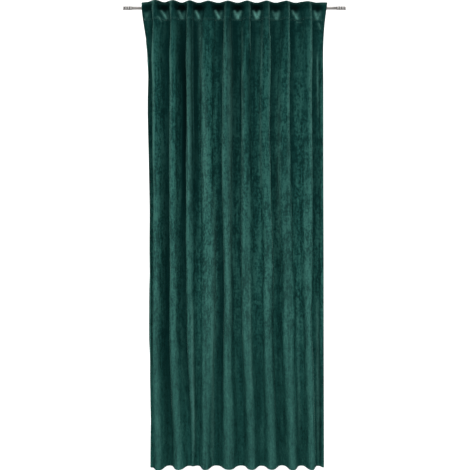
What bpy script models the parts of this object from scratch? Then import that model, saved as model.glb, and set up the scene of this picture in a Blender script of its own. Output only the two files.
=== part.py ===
"""A velvet curtain with a stitched heading, hung by sewn back tabs from a thin rod with ribbed ends.

Metres, +Z up. The origin is the middle of the rod's axis. +X runs along the rod, to the right as
seen from the room, and +Y points to the wall behind, so the front of the cloth faces -Y.
"""

import math
from typing import NamedTuple

import bmesh
import bpy
from mathutils import Vector

# Curtain panel
CLOTH_WIDTH = 1.400  # flat, from side hem to side hem
DROP = 2.450  # top edge to bottom hem
TOP_Z = 0.027  # the heading stands this far above the rod's axis
HEM_Z = TOP_Z - DROP
HEADING_HEIGHT = 0.098  # top edge to the stitched line
SEAM_Z = TOP_Z - HEADING_HEIGHT
CLOTH_THICKNESS = 0.0018
DOUBLED_THICKNESS = 0.0030  # two layers, in the heading and the side hems
SIDE_HEM = 0.020
BOTTOM_HEM = 0.060

# Rod and its ends
ROD_RADIUS = 0.008
ROD_WALL = 0.001
ROD_LENGTH = 1.084
ROD_SIDES = 24
FINIAL_RADIUS = 0.0115
FINIAL_GROOVE_RADIUS = 0.0082
FINIAL_RIBS = 4
FINIAL_RIB = 0.0086
FINIAL_GROOVE = 0.0042
FINIAL_BEVEL = 0.0009
FINIAL_SPIGOT = 0.016  # reaches this far into the rod's bore

# Tabs, each a strap sewn to the back of the heading
TAB_WIDTH = 0.020
TAB_THICKNESS = 0.0015
TAB_SEWN_TOP = (0.025, 0.014)  # heights of the stretch sewn near the top edge
TAB_SEWN_FOOT = (-0.055, -0.069)  # heights of the stretch sewn above the stitched line
TAB_ARC_STEPS = 6
TAB_ARC_SAG = 0.0001  # the straight steps of the arc cut in this far

GAP = 0.0003  # between pieces that touch

# Where the cloth lies back against the rod, and how it comes forward to the stitched line
AT_ROD_Y = -(ROD_RADIUS + GAP + DOUBLED_THICKNESS)
AT_TOP_Y = AT_ROD_Y - 0.0022
AT_SEAM_Y = AT_ROD_Y - 0.0115
AT_ROD_HALF_HEIGHT = 0.012  # the cloth is upright this far above and below the axis
BELOW_SEAM_Z = -0.160  # down here the cloth has fallen back to its own valleys

# Width of the flat strip in each valley
FLAT_AT_ROD = 0.042
FLAT_AT_SEAM = 0.024
FLAT_BELOW = 0.007
FLAT_AT_HEM = 0.004

# Heights at which the tables below give a place
UPPER_Z = -0.420
LOWER_Z = -1.650
EDGE_DRAWN_IN_Z = -0.300

# Sharpness of the folds' sides: 0 is a plain wave, 1 stands square to the rod
SHARP_AT_HEADING = 0.62
SHARP_BELOW = 0.58
SHARP_AT_HEM = 0.15
SHARP_BY_LEAN = 0.34
SHARP_DRAWS_BACK = 0.16  # a sharp side stands nearer to the valley

FLANK_STEPS = 5
FLAT_STEPS = 2
EDGE_STEPS = 2

ROW_HEIGHTS = (
    TOP_Z, AT_ROD_HALF_HEIGHT, 0.0, -AT_ROD_HALF_HEIGHT, -0.032, -0.052, SEAM_Z,
    -0.085, -0.110, -0.145, -0.195, -0.265, -0.420, -0.650, -0.950, -1.300,
    -1.650, -1.950, -2.180, HEM_Z + BOTTOM_HEM, HEM_Z,
)


class Places(NamedTuple):
    """One value at each height for which the tables give one."""

    heading: float
    upper: float
    lower: float
    hem: float


class Valley(NamedTuple):
    """A place where the cloth lies back: at a tab in the heading, and a furrow below it."""

    x: Places
    depth: Places  # y below the heading, where the rod no longer holds it


class Fold(NamedTuple):
    """A fold that stands forward between two valleys."""

    x: Places
    cloth: Places  # its part of the flat cloth, next to the other folds' parts
    lean: float  # -1 leans left, 1 leans right: that side is the sharp one


VALLEYS = (
    Valley(Places(-0.463, -0.444, -0.443, -0.438), Places(AT_SEAM_Y, -0.014, -0.030, -0.044)),
    Valley(Places(-0.371, -0.355, -0.357, -0.342), Places(AT_SEAM_Y, -0.016, -0.007, -0.010)),
    Valley(Places(-0.278, -0.271, -0.271, -0.233), Places(AT_SEAM_Y, -0.009, -0.013, -0.013)),
    Valley(Places(-0.188, -0.194, -0.188, -0.197), Places(AT_SEAM_Y, -0.015, -0.026, -0.012)),
    Valley(Places(-0.085, -0.085, -0.076, -0.097), Places(AT_SEAM_Y, -0.021, -0.008, -0.008)),
    Valley(Places(0.017, 0.013, 0.017, 0.040), Places(AT_SEAM_Y, -0.016, -0.016, -0.011)),
    Valley(Places(0.116, 0.117, 0.129, 0.141), Places(AT_SEAM_Y, -0.026, -0.024, -0.012)),
    Valley(Places(0.217, 0.204, 0.222, 0.252), Places(AT_SEAM_Y, -0.018, -0.014, -0.007)),
    Valley(Places(0.321, 0.305, 0.341, 0.356), Places(AT_SEAM_Y, -0.022, -0.029, -0.012)),
    Valley(Places(0.439, 0.431, 0.430, 0.438), Places(AT_SEAM_Y, -0.013, -0.016, -0.014)),
)

FOLDS = (
    Fold(Places(-0.416, -0.399, -0.403, -0.393), Places(1.00, 0.98, 0.94, 0.96), -0.8),
    Fold(Places(-0.324, -0.310, -0.312, -0.286), Places(1.00, 1.00, 1.05, 1.10), -0.8),
    Fold(Places(-0.233, -0.231, -0.228, -0.214), Places(1.00, 0.96, 0.90, 0.27), -0.6),
    Fold(Places(-0.137, -0.142, -0.138, -0.155), Places(1.00, 1.02, 1.02, 1.10), -0.4),
    Fold(Places(-0.034, -0.034, -0.030, -0.020), Places(1.00, 1.00, 1.00, 1.18), -0.5),
    Fold(Places(0.066, 0.064, 0.071, 0.092), Places(1.00, 1.02, 1.04, 1.06), -0.3),
    Fold(Places(0.168, 0.164, 0.175, 0.192), Places(1.00, 0.96, 0.98, 1.10), 0.4),
    Fold(Places(0.271, 0.258, 0.277, 0.306), Places(1.00, 1.02, 1.06, 1.10), 0.7),
    Fold(Places(0.382, 0.371, 0.383, 0.400), Places(1.00, 1.04, 0.99, 1.02), 0.8),
)

LEFT_EDGE_X = Places(-0.489, -0.4555, -0.4480, -0.4450)
LEFT_EDGE_Y = Places(AT_ROD_Y, -0.029, -0.036, -0.038)
RIGHT_EDGE_X = Places(0.489, 0.4655, 0.4695, 0.4715)
RIGHT_EDGE_Y = Places(AT_ROD_Y, -0.040, -0.040, -0.042)


def eased(start, end, value):
    """0 at start, 1 at end, and a smooth step between them."""
    share = min(max((value - start) / (end - start), 0.0), 1.0)
    return share * share * (3.0 - 2.0 * share)


def mixed(first, second, share):
    """The value that lies the given share of the way from first to second."""
    return first + (second - first) * share


def placed(places, z, first_z=SEAM_Z):
    """A table's value at height z. It holds its heading value down to first_z."""
    value = mixed(places.heading, places.upper, eased(first_z, UPPER_Z, z))
    value = mixed(value, places.lower, eased(UPPER_Z, LOWER_Z, z))
    return mixed(value, places.hem, eased(LOWER_Z, HEM_Z, z))


def edge_point(x_places, y_places, z):
    """The side edge of the cloth at height z. It is drawn in under the heading."""
    x = mixed(x_places.heading, x_places.upper, eased(TOP_Z, EDGE_DRAWN_IN_Z, z))
    x = mixed(x, x_places.lower, eased(UPPER_Z, LOWER_Z, z))
    x = mixed(x, x_places.hem, eased(LOWER_Z, HEM_Z, z))
    y = valley_y(y_places, z) if z > SEAM_Z else placed(y_places, z, SEAM_Z)
    return Vector((x, y, z))


def valley_y(depth, z):
    """How far back a valley lies: against the rod, forward at the stitched line, then its own depth."""
    if z >= AT_ROD_HALF_HEIGHT:
        share = (z - AT_ROD_HALF_HEIGHT) / (TOP_Z - AT_ROD_HALF_HEIGHT)
        return mixed(AT_ROD_Y, AT_TOP_Y, share)
    if z >= -AT_ROD_HALF_HEIGHT:
        return AT_ROD_Y
    if z >= SEAM_Z:
        share = (-AT_ROD_HALF_HEIGHT - z) / (-AT_ROD_HALF_HEIGHT - SEAM_Z)
        return mixed(AT_ROD_Y, depth.heading, share)
    y = mixed(depth.heading, depth.upper, eased(SEAM_Z, BELOW_SEAM_Z, z))
    y = mixed(y, depth.lower, eased(UPPER_Z, LOWER_Z, z))
    return mixed(y, depth.hem, eased(LOWER_Z, HEM_Z, z))


def flat_width(z):
    """Width of the flat strip in a valley: wide at the rod, pinched at the stitched line."""
    width = mixed(FLAT_AT_ROD, FLAT_AT_SEAM, min(max(z / SEAM_Z, 0.0), 1.0))
    width = mixed(width, FLAT_BELOW, eased(SEAM_Z, BELOW_SEAM_Z, z))
    return mixed(width, FLAT_AT_HEM, eased(LOWER_Z, HEM_Z, z))


def sharpness(z, lean):
    """How squarely a fold's side stands, on the side that the lean is signed towards."""
    level = mixed(SHARP_AT_HEADING, SHARP_BELOW, eased(SEAM_Z, UPPER_Z, z))
    level = mixed(level, SHARP_AT_HEM, eased(LOWER_Z, HEM_Z, z))
    return level + SHARP_BY_LEAN * lean * level / SHARP_AT_HEADING


def flank(foot, crest, sharp, steps):
    """Points of a fold's side from its foot in the valley up to its crest, without the crest."""
    points = []
    for step in range(steps):
        share = step / steps
        across = share + sharp * math.sin(2.0 * math.pi * share) / (2.0 * math.pi)
        across -= SHARP_DRAWS_BACK * sharp * math.sin(math.pi * share) ** 2
        forward = (1.0 - math.cos(math.pi * share)) / 2.0
        x = mixed(foot.x, crest.x, across)
        points.append(Vector((x, mixed(foot.y, crest.y, forward), foot.z)))
    return points


def length_of(points):
    """Length of the line through the points."""
    return sum((b - a).length for a, b in zip(points, points[1:]))


def fold_points(left_foot, right_foot, fold, z, held_cloth):
    """A fold's outline from its left foot to just before its right one, as deep as its cloth allows."""
    crest_x = placed(fold.x, z)
    left_sharp, right_sharp = sharpness(z, -fold.lean), sharpness(z, fold.lean)
    nearest = min(left_foot.y, right_foot.y)
    shallow, deep = nearest - 0.001, nearest - 0.100
    points = []
    for _ in range(24):
        crest = Vector((crest_x, (shallow + deep) / 2.0, z))
        rise = flank(left_foot, crest, left_sharp, FLANK_STEPS)
        fall = flank(right_foot, crest, right_sharp, FLANK_STEPS)
        points = [*rise, crest, *reversed(fall[1:])]
        if length_of([*points, right_foot]) < held_cloth:
            shallow = crest.y
        else:
            deep = crest.y
    return points


def cloth_outline(z):
    """Points of the front of the cloth across its whole width at height z, left edge first."""
    flat = flat_width(z)
    half = Vector((flat / 2.0, 0.0, 0.0))
    feet = [Vector((placed(valley.x, z), valley_y(valley.depth, z), z)) for valley in VALLEYS]
    left = edge_point(LEFT_EDGE_X, LEFT_EDGE_Y, z)
    right = edge_point(RIGHT_EDGE_X, RIGHT_EDGE_Y, z)
    edge_sharp = sharpness(z, 0.0)
    start = [left, *reversed(flank(feet[0] - half, left, edge_sharp, EDGE_STEPS))]
    end = [*flank(feet[-1] + half, right, edge_sharp, EDGE_STEPS), right]
    shares = [placed(fold.cloth, z) for fold in FOLDS]
    in_folds = CLOTH_WIDTH - length_of(start) - length_of(end) - flat * len(VALLEYS)
    points = start[:-1]
    for index, foot in enumerate(feet):
        for step in range(FLAT_STEPS):
            points.append(foot + half * (2.0 * step / FLAT_STEPS - 1.0))
        if index < len(FOLDS):
            cloth = in_folds * shares[index] / sum(shares)
            following = feet[index + 1] - half
            points += fold_points(foot + half, following, FOLDS[index], z, cloth)
    return points + end


def clear_scene():
    """Removes every object, so that the script starts from nothing."""
    for old in list(bpy.data.objects):
        bpy.data.objects.remove(old, do_unlink=True)


def new_collection(name):
    """A collection linked to the scene."""
    collection = bpy.data.collections.new(name)
    bpy.context.scene.collection.children.link(collection)
    return collection


def new_material(name, colour, roughness, metallic):
    """A Principled material of one colour."""
    material = bpy.data.materials.new(name)
    material.use_nodes = True
    shader = material.node_tree.nodes["Principled BSDF"]
    shader.inputs["Base Color"].default_value = (*colour, 1.0)
    shader.inputs["Roughness"].default_value = roughness
    shader.inputs["Metallic"].default_value = metallic
    return material


def new_part(name, mesh, collection, material):
    """An object of the collection for a mesh, with its material."""
    mesh.materials.append(material)
    part = bpy.data.objects.new(name, mesh)
    collection.objects.link(part)
    return part


def sheet_mesh(name, rows):
    """A mesh through a grid of points, one row after another, with its front facing -Y."""
    cells = bmesh.new()
    across, down = len(rows[0]) - 1, len(rows) - 1
    bmesh.ops.create_grid(cells, x_segments=across, y_segments=down, size=0.5)
    cells.verts.ensure_lookup_table()
    for vertex in cells.verts:
        column = round((vertex.co.x + 0.5) * across)
        row = round((0.5 - vertex.co.y) * down)
        vertex.co = rows[row][column]
    mesh = bpy.data.meshes.new(name)
    cells.to_mesh(mesh)
    cells.free()
    mesh.shade_smooth()
    return mesh


def thickened(part, thickness, offset):
    """Gives an open sheet its thickness. Offset -1 adds it all behind the face, 0 half each way."""
    solid = part.modifiers.new("Thickness", "SOLIDIFY")
    solid.thickness = thickness
    solid.offset = offset
    solid.use_even_offset = True
    solid.use_quality_normals = True
    return solid


def is_doubled(point, left, right):
    """Whether a point of the cloth lies in the heading or in a hem, where the cloth is turned over."""
    in_side_hem = point.x - left.x < SIDE_HEM or right.x - point.x < SIDE_HEM
    return in_side_hem or point.z >= SEAM_Z or point.z <= HEM_Z + BOTTOM_HEM


def make_cloth(collection, material):
    """The curtain's one cloth panel, with its heading and hems turned over behind."""
    rows = [cloth_outline(z) for z in ROW_HEIGHTS]
    mesh = sheet_mesh("curtain_cloth", rows)
    cloth = new_part("curtain_cloth", mesh, collection, material)
    doubled = cloth.vertex_groups.new(name="doubled")
    ends = {round(row[0].z, 5): (row[0], row[-1]) for row in rows}
    for vertex in mesh.vertices:
        left, right = ends[round(vertex.co.z, 5)]
        if is_doubled(vertex.co, left, right):
            doubled.add([vertex.index], 1.0, "REPLACE")
    solid = thickened(cloth, DOUBLED_THICKNESS, -1.0)
    solid.vertex_group = doubled.name
    solid.thickness_vertex_group = CLOTH_THICKNESS / DOUBLED_THICKNESS


def tangent_angle(y, z, radius, side):
    """Angle from +Z towards +Y where a line from (y, z) touches the circle round the rod's axis."""
    return math.atan2(y, z) + side * math.acos(radius / math.hypot(y, z))


def tab_line():
    """The tab's middle line as (y, z): down the heading's back, over the rod, down to its foot."""
    behind = DOUBLED_THICKNESS + GAP + TAB_THICKNESS / 2.0
    wrap = ROD_RADIUS + GAP + TAB_ARC_SAG + TAB_THICKNESS / 2.0
    heading = VALLEYS[0].depth
    top = [(valley_y(heading, z) + behind, z) for z in TAB_SEWN_TOP]
    foot = [(valley_y(heading, z) + behind, z) for z in TAB_SEWN_FOOT]
    first = tangent_angle(*top[-1], wrap, 1.0)
    last = tangent_angle(*foot[0], wrap, -1.0) + 2.0 * math.pi
    over = []
    for step in range(TAB_ARC_STEPS + 1):
        angle = mixed(first, last, step / TAB_ARC_STEPS)
        over.append((wrap * math.sin(angle), wrap * math.cos(angle)))
    return [*top, *over, *foot]


def make_tabs(collection, material):
    """A strap behind each valley of the heading, which the rod runs through."""
    line = tab_line()
    for number, valley in enumerate(VALLEYS, start=1):
        sides = (valley.x.heading - TAB_WIDTH / 2.0, valley.x.heading + TAB_WIDTH / 2.0)
        rows = [[Vector((x, y, z)) for x in sides] for y, z in line]
        name = f"tab_{number:02d}"
        tab = new_part(name, sheet_mesh(name, rows), collection, material)
        thickened(tab, TAB_THICKNESS, 0.0)


def turned_part(name, profile, collection, material):
    """A solid turned round the rod's axis from a profile of (radius, along) points."""
    outline = bmesh.new()
    corners = [outline.verts.new((radius, 0.0, along)) for radius, along in profile]
    for first, second in zip(corners, corners[1:]):
        outline.edges.new((first, second))
    if profile[0][0] > 0.0:
        outline.edges.new((corners[-1], corners[0]))
    mesh = bpy.data.meshes.new(name)
    outline.to_mesh(mesh)
    outline.free()
    part = new_part(name, mesh, collection, material)
    turn = part.modifiers.new("Turn", "SCREW")
    turn.axis = "Z"
    turn.steps = turn.render_steps = ROD_SIDES
    turn.use_merge_vertices = True
    turn.merge_threshold = 0.00001
    return part


def make_rod(collection, material):
    """The tube that carries the curtain."""
    half, bore = ROD_LENGTH / 2.0, ROD_RADIUS - ROD_WALL
    profile = ((ROD_RADIUS, half), (ROD_RADIUS, -half), (bore, -half), (bore, half))
    rod = turned_part("rod", profile, collection, material)
    rod.rotation_euler = (0.0, math.pi / 2.0, 0.0)


def finial_profile():
    """Half the outline of a ribbed end, from its flat outer face to the tip of its spigot."""
    length = FINIAL_RIBS * FINIAL_RIB + (FINIAL_RIBS - 1) * FINIAL_GROOVE
    profile = [(0.0, length)]
    top = length
    for rib in range(FINIAL_RIBS):
        foot = top - FINIAL_RIB
        profile += [
            (FINIAL_RADIUS - FINIAL_BEVEL, top),
            (FINIAL_RADIUS, top - FINIAL_BEVEL),
            (FINIAL_RADIUS, foot + FINIAL_BEVEL),
            (FINIAL_RADIUS - FINIAL_BEVEL, foot),
        ]
        if rib < FINIAL_RIBS - 1:
            profile += [(FINIAL_GROOVE_RADIUS, foot), (FINIAL_GROOVE_RADIUS, foot - FINIAL_GROOVE)]
        top = foot - FINIAL_GROOVE
    spigot = ROD_RADIUS - ROD_WALL - GAP
    profile += [(spigot, 0.0), (spigot, -FINIAL_SPIGOT), (0.0, -FINIAL_SPIGOT)]
    return profile


def make_finials(collection, material):
    """The two ribbed ends, plugged into the rod."""
    for side, name in ((-1.0, "finial_left"), (1.0, "finial_right")):
        finial = turned_part(name, finial_profile(), collection, material)
        finial.location = (side * (ROD_LENGTH / 2.0 + GAP), 0.0, 0.0)
        finial.rotation_euler = (0.0, side * math.pi / 2.0, 0.0)


def main():
    clear_scene()
    curtain = new_collection("velvet_curtain_on_rod")
    velvet = new_material("green_velvet", (0.010, 0.080, 0.066), 0.9, 0.0)
    tape = new_material("green_tab_tape", (0.012, 0.070, 0.058), 0.85, 0.0)
    steel = new_material("satin_steel", (0.50, 0.49, 0.48), 0.35, 1.0)
    make_cloth(curtain, velvet)
    make_tabs(curtain, tape)
    make_rod(curtain, steel)
    make_finials(curtain, steel)


main()
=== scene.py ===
"""The looks of a dark green velvet curtain that hangs by sewn back tabs from a thin metal rod.

Metres, +Z up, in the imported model's own frame: the origin is the middle of the rod's axis, +X runs
along the rod to the right as seen from the room, and the front of the cloth faces -Y.
"""

import logging
import math
from collections.abc import Callable, Sequence
from dataclasses import dataclass, field, replace
from enum import Enum

import bpy
import numpy as np
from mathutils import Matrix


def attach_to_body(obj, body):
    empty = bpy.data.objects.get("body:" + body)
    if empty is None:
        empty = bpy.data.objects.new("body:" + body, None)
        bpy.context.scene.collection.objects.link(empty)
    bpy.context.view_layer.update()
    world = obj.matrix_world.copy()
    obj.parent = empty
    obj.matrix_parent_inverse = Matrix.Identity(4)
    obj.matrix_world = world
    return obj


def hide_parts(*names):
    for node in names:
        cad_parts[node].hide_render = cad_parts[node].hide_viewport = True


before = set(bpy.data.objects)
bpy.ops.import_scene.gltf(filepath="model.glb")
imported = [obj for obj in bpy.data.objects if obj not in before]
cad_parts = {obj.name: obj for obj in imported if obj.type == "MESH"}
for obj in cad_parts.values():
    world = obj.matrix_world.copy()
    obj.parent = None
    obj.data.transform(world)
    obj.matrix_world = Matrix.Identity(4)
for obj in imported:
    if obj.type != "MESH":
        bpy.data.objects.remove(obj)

LOG = logging.getLogger("curtain")
BODY = "root"
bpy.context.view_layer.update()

Grid = np.ndarray
Socket = bpy.types.NodeSocket
Pair = tuple[float, float]
Triple = tuple[float, float, float]


def eased(start: float, end: float, value: Grid) -> Grid:
    """A smooth step.

    Args:
        start: Value at which the step begins.
        end: Value at which it ends. It may be less than start.
        value: Where to read the step.

    Returns:
        0 at start, 1 at end and a smooth rise between them.
    """
    share = np.clip((value - start) / (end - start), 0.0, 1.0)
    return share * share * (3.0 - 2.0 * share)


def mixed(first: Grid, second: Grid, share: Grid) -> Grid:
    """The values that lie the given share of the way from first to second."""
    return first + (second - first) * share


def bump_at(value: Grid, middle: float, width: float) -> Grid:
    """A soft hump of height 1 about the middle, falling to a third of that at the width."""
    return np.exp(-(((value - middle) / width) ** 2))


class Slot(Enum):
    """The record's material slots."""

    VELVET = "green_velvet"
    TAPE = "green_tab_tape"
    STEEL = "satin_steel"


@dataclass(frozen=True)
class Pattern:
    """Noise: its cells for each metre along X, Y and Z, its octaves, and its share where several add up."""

    cells: Triple
    detail: float = 3.0
    rough: float = 0.5
    share: float = 0.0


@dataclass(frozen=True)
class Span:
    """The range of a value that tells, and what its two ends turn into."""

    low: float
    high: float
    at_low: float = 0.0
    at_high: float = 1.0


class NodeTree:
    """A small helper that lays out one material's nodes."""

    def __init__(self, name: str) -> None:
        """Makes the material with its Principled shader and object coordinates.

        Args:
            name: The material's name.
        """
        self.material = bpy.data.materials.new(name)
        self.material.use_nodes = True
        self.nodes = self.material.node_tree.nodes
        self.links = self.material.node_tree.links
        self.shader = self.nodes["Principled BSDF"]
        self.place = self.nodes.new("ShaderNodeTexCoord").outputs["Object"]

    def made(self, kind: str, **values: float | Triple) -> bpy.types.Node:
        """Adds a node.

        Args:
            kind: The node's type, without the words that all of them begin with.
            **values: Its input sockets' names with underscores for spaces, and their values.

        Returns:
            The node.
        """
        node = self.nodes.new(f"ShaderNode{kind}")
        self.fill(node, values)
        return node

    @staticmethod
    def fill(node: bpy.types.Node, values: dict[str, float | Sequence[float]]) -> None:
        """Sets a node's constant inputs, each named by its socket with underscores for spaces."""
        for name, value in values.items():
            node.inputs[name.replace("_", " ")].default_value = value

    def set(self, **values: float | Sequence[float]) -> None:
        """Sets constant shader values, named in the same way."""
        self.fill(self.shader, values)

    def stretched(self, scale: Triple, turn: Triple = (0.0, 0.0, 0.0)) -> Socket:
        """Object coordinates scaled along each axis.

        Args:
            scale: Cells for each metre along X, Y and Z.
            turn: Rotation of the pattern about X, Y and Z.

        Returns:
            The mapped coordinates.
        """
        mapping = self.made("Mapping", Scale=scale, Rotation=turn)
        self.links.new(self.place, mapping.inputs["Vector"])
        return mapping.outputs["Vector"]

    def noise(self, pattern: Pattern) -> Socket:
        """Noise in object coordinates.

        Args:
            pattern: Its cells and octaves.

        Returns:
            The noise's value, about 0.5 on average.
        """
        noise = self.made("TexNoise", Scale=1.0, Detail=pattern.detail, Roughness=pattern.rough)
        self.links.new(self.stretched(pattern.cells), noise.inputs["Vector"])
        return noise.outputs["Fac"]

    def wave(self, scale: Triple, turn: Triple, warp: float) -> Socket:
        """Straight bands.

        Args:
            scale: Bands for each metre along X, Y and Z.
            turn: Rotation of the bands.
            warp: How much noise bends them.

        Returns:
            The bands' value, from 0 to 1.
        """
        wave = self.made("TexWave", Scale=1.0 / math.tau, Distortion=warp)
        self.links.new(self.stretched(scale, turn), wave.inputs["Vector"])
        return wave.outputs["Fac"]

    def spread(self, value: Socket, span: Span) -> Socket:
        """Maps a value's range smoothly onto another.

        Args:
            value: The value to map.
            span: The range and what it turns into.

        Returns:
            The mapped value.
        """
        node = self.made("MapRange", From_Min=span.low, From_Max=span.high, To_Min=span.at_low,
                         To_Max=span.at_high)
        node.interpolation_type = "SMOOTHSTEP"
        self.links.new(value, node.inputs["Value"])
        return node.outputs["Result"]

    def maths(self, kind: str, first: Socket, second: Socket | float) -> Socket:
        """One arithmetic step.

        Args:
            kind: The operation's name.
            first: The first value.
            second: The second value, a socket or a number.

        Returns:
            The result.
        """
        node = self.made("Math")
        node.operation = kind
        self.links.new(first, node.inputs[0])
        if isinstance(second, float):
            node.inputs[1].default_value = second
        else:
            self.links.new(second, node.inputs[1])
        return node.outputs["Value"]

    def blended(self, share: Socket, first: Socket | Triple, second: Triple) -> Socket:
        """Mixes two colours.

        Args:
            share: How much of the second colour shows.
            first: The first colour, a socket or three numbers.
            second: The second colour.

        Returns:
            The mixed colour.
        """
        node = self.made("Mix")
        node.data_type = "RGBA"
        self.links.new(share, node.inputs["Factor"])
        first_colour, second_colour = node.inputs[6], node.inputs[7]
        if isinstance(first, Socket):
            self.links.new(first, first_colour)
        else:
            first_colour.default_value = (*first, 1.0)
        second_colour.default_value = (*second, 1.0)
        return node.outputs[2]

    def raised(self, height: Socket, bump: Pair, below: Socket | None = None) -> Socket:
        """A bump.

        Args:
            height: The height pattern.
            bump: How high its full range is, in metres, and how much of it shows.
            below: A bump that this one is added to.

        Returns:
            The bent normal.
        """
        node = self.made("Bump", Distance=bump[0], Strength=bump[1])
        self.links.new(height, node.inputs["Height"])
        if below is not None:
            self.links.new(below, node.inputs["Normal"])
        return node.outputs["Normal"]

    def painted(self, name: str) -> Socket:
        """A value stored at the mesh's points.

        Args:
            name: The name it is stored under.

        Returns:
            The value, 0 on a mesh that has none.
        """
        node = self.made("Attribute")
        node.attribute_name = name
        return node.outputs["Fac"]

    def feed(self, name: str, value: Socket) -> None:
        """Links a value to one of the shader's sockets."""
        self.links.new(value, self.shader.inputs[name])


@dataclass(frozen=True)
class PileVelvet:
    """Short cut pile. It is dark seen face on, and its tips catch light at a slant.

    Four patterns add up to how the pile lies, 0.5 on average. It shows its deep tone where it is
    flattened and a paler one where it is brushed up. Three values painted on the cloth change it:
    painted shade, which darkens it towards the deep tone and past 1 to a near-black painted shadow;
    painted highlights; and how uneven it is.
    """

    name: str = "velvet_pile"
    face: Triple = (0.0050, 0.0330, 0.0285)
    # deep is the flattened pile's tone, and also the colour that the painted shade darkens towards
    deep: Triple = (0.0006, 0.0095, 0.0090)
    brushed: Triple = (0.0150, 0.0620, 0.0520)
    # colour of the painted highlights
    painted_highlight: Triple = (0.0450, 0.1240, 0.1055)
    # near-black painted shadow for the hollows at the rod
    painted_shadow: Triple = (0.0001, 0.0012, 0.0012)
    combed: Pattern = Pattern((56.0, 36.0, 3.2), 3.0, 0.55, 0.22)
    streaks: Pattern = Pattern((110.0, 70.0, 18.0), 3.0, 0.6, 0.19)
    patches: Pattern = Pattern((24.0, 24.0, 13.0), 3.0, 0.6, 0.21)
    speckle: Pattern = Pattern((110.0, 110.0, 75.0), 3.0, 0.7, 0.38)
    grain: Pattern = Pattern((760.0, 760.0, 480.0), 2.0, 0.6)
    average: float = 0.5
    flattened: Span = Span(0.505, 0.44, 0.0, 0.95)
    raised: Span = Span(0.50, 0.57, 0.0, 0.9)
    tips: Span = Span(0.35, 0.70, 0.0, 0.20)
    # share of the painted shade that shows as the deep tone
    painted_shade_share: float = 0.92
    shaded: Span = Span(0.95, 1.6)
    # worn sets how much of the painted highlight shows, by how the pile lies
    worn: Span = Span(0.42, 0.55, 0.55, 1.0)
    roughness: Span = Span(0.3, 0.7, 0.82, 0.96)
    streak_bump: Pair = (0.0016, 0.55)
    speckle_bump: Pair = (0.0012, 0.5)
    grain_bump: Pair = (0.0006, 0.6)
    sheen: float = 0.30
    sheen_roughness: float = 0.10
    sheen_tint: Triple = (0.45, 0.95, 0.85)

    def material(self) -> bpy.types.Material:
        """The finish as a material.

        Returns:
            A material whose colour varies with the way the pile lies, with painted shade and painted
            highlights.
        """
        tree = NodeTree(self.name)
        tree.set(Sheen_Weight=self.sheen, Sheen_Roughness=self.sheen_roughness,
                 Sheen_Tint=(*self.sheen_tint, 1.0), IOR=1.3, Specular_IOR_Level=0.03)
        patterns = (self.combed, self.streaks, self.patches, self.speckle)
        combed, streaks, patches, speckle = (tree.noise(pattern) for pattern in patterns)
        grain = tree.noise(self.grain)
        weighed = [tree.maths("MULTIPLY", value, pattern.share)
                   for value, pattern in zip((combed, streaks, patches, speckle), patterns)]
        even = tree.maths("ADD", tree.maths("ADD", weighed[0], weighed[1]),
                          tree.maths("ADD", weighed[2], weighed[3]))
        swing = tree.maths("MULTIPLY", tree.maths("SUBTRACT", even, self.average), tree.painted("uneven"))
        lie = tree.maths("ADD", swing, self.average)
        colour = tree.blended(tree.spread(lie, self.flattened), self.face, self.deep)
        colour = tree.blended(tree.spread(lie, self.raised), colour, self.brushed)
        colour = tree.blended(tree.spread(grain, self.tips), colour, self.brushed)
        # Painted shade: towards the deep tone, then past 1 towards the near-black painted shadow
        painted_shade = tree.painted("painted_shade")
        colour = tree.blended(tree.maths("MULTIPLY", painted_shade, self.painted_shade_share), colour, self.deep)
        colour = tree.blended(tree.spread(painted_shade, self.shaded), colour, self.painted_shadow)
        # Painted highlights, broken up by how the pile lies
        lit = tree.maths("MULTIPLY", tree.painted("painted_highlight"), tree.spread(lie, self.worn))
        tree.feed("Base Color", tree.blended(lit, colour, self.painted_highlight))
        tree.feed("Roughness", tree.spread(grain, self.roughness))
        relief = tree.raised(speckle, self.speckle_bump, tree.raised(streaks, self.streak_bump))
        tree.feed("Normal", tree.raised(grain, self.grain_bump, relief))
        return tree.material


@dataclass(frozen=True)
class WovenTape:
    """Twill tape, its ribs slanting across the strap."""

    name: str = "twill_tape"
    thread: Triple = (0.014, 0.075, 0.062)
    gap: Triple = (0.005, 0.034, 0.029)
    rib: float = 1100.0
    slant: float = 0.9
    warp: float = 1870.0
    wear: Pattern = Pattern((60.0, 60.0, 60.0))
    weave_bump: Pair = (0.0004, 0.7)

    def material(self) -> bpy.types.Material:
        """The finish as a material.

        Returns:
            A material with slanting ribs crossed by the warp.
        """
        tree = NodeTree(self.name)
        tree.set(Sheen_Weight=0.25, Sheen_Roughness=0.5, Sheen_Tint=(0.6, 0.9, 0.85, 1.0), IOR=1.4)
        ribs = tree.wave((self.rib, self.rib, self.rib), (0.0, self.slant, 0.0), 0.4)
        warp = tree.wave((self.warp, 0.0, 0.0), (0.0, 0.0, 0.0), 0.2)
        weave = tree.maths("MULTIPLY", ribs, tree.spread(warp, Span(0.0, 1.0, 0.6, 1.0)))
        worn = tree.noise(self.wear)
        cover = tree.maths("MULTIPLY", tree.spread(weave, Span(0.1, 0.6)),
                           tree.spread(worn, Span(0.3, 0.7, 0.75, 1.0)))
        tree.feed("Base Color", tree.blended(cover, self.gap, self.thread))
        tree.feed("Roughness", tree.spread(worn, Span(0.3, 0.7, 0.78, 0.92)))
        tree.feed("Normal", tree.raised(weave, self.weave_bump))
        return tree.material


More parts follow.
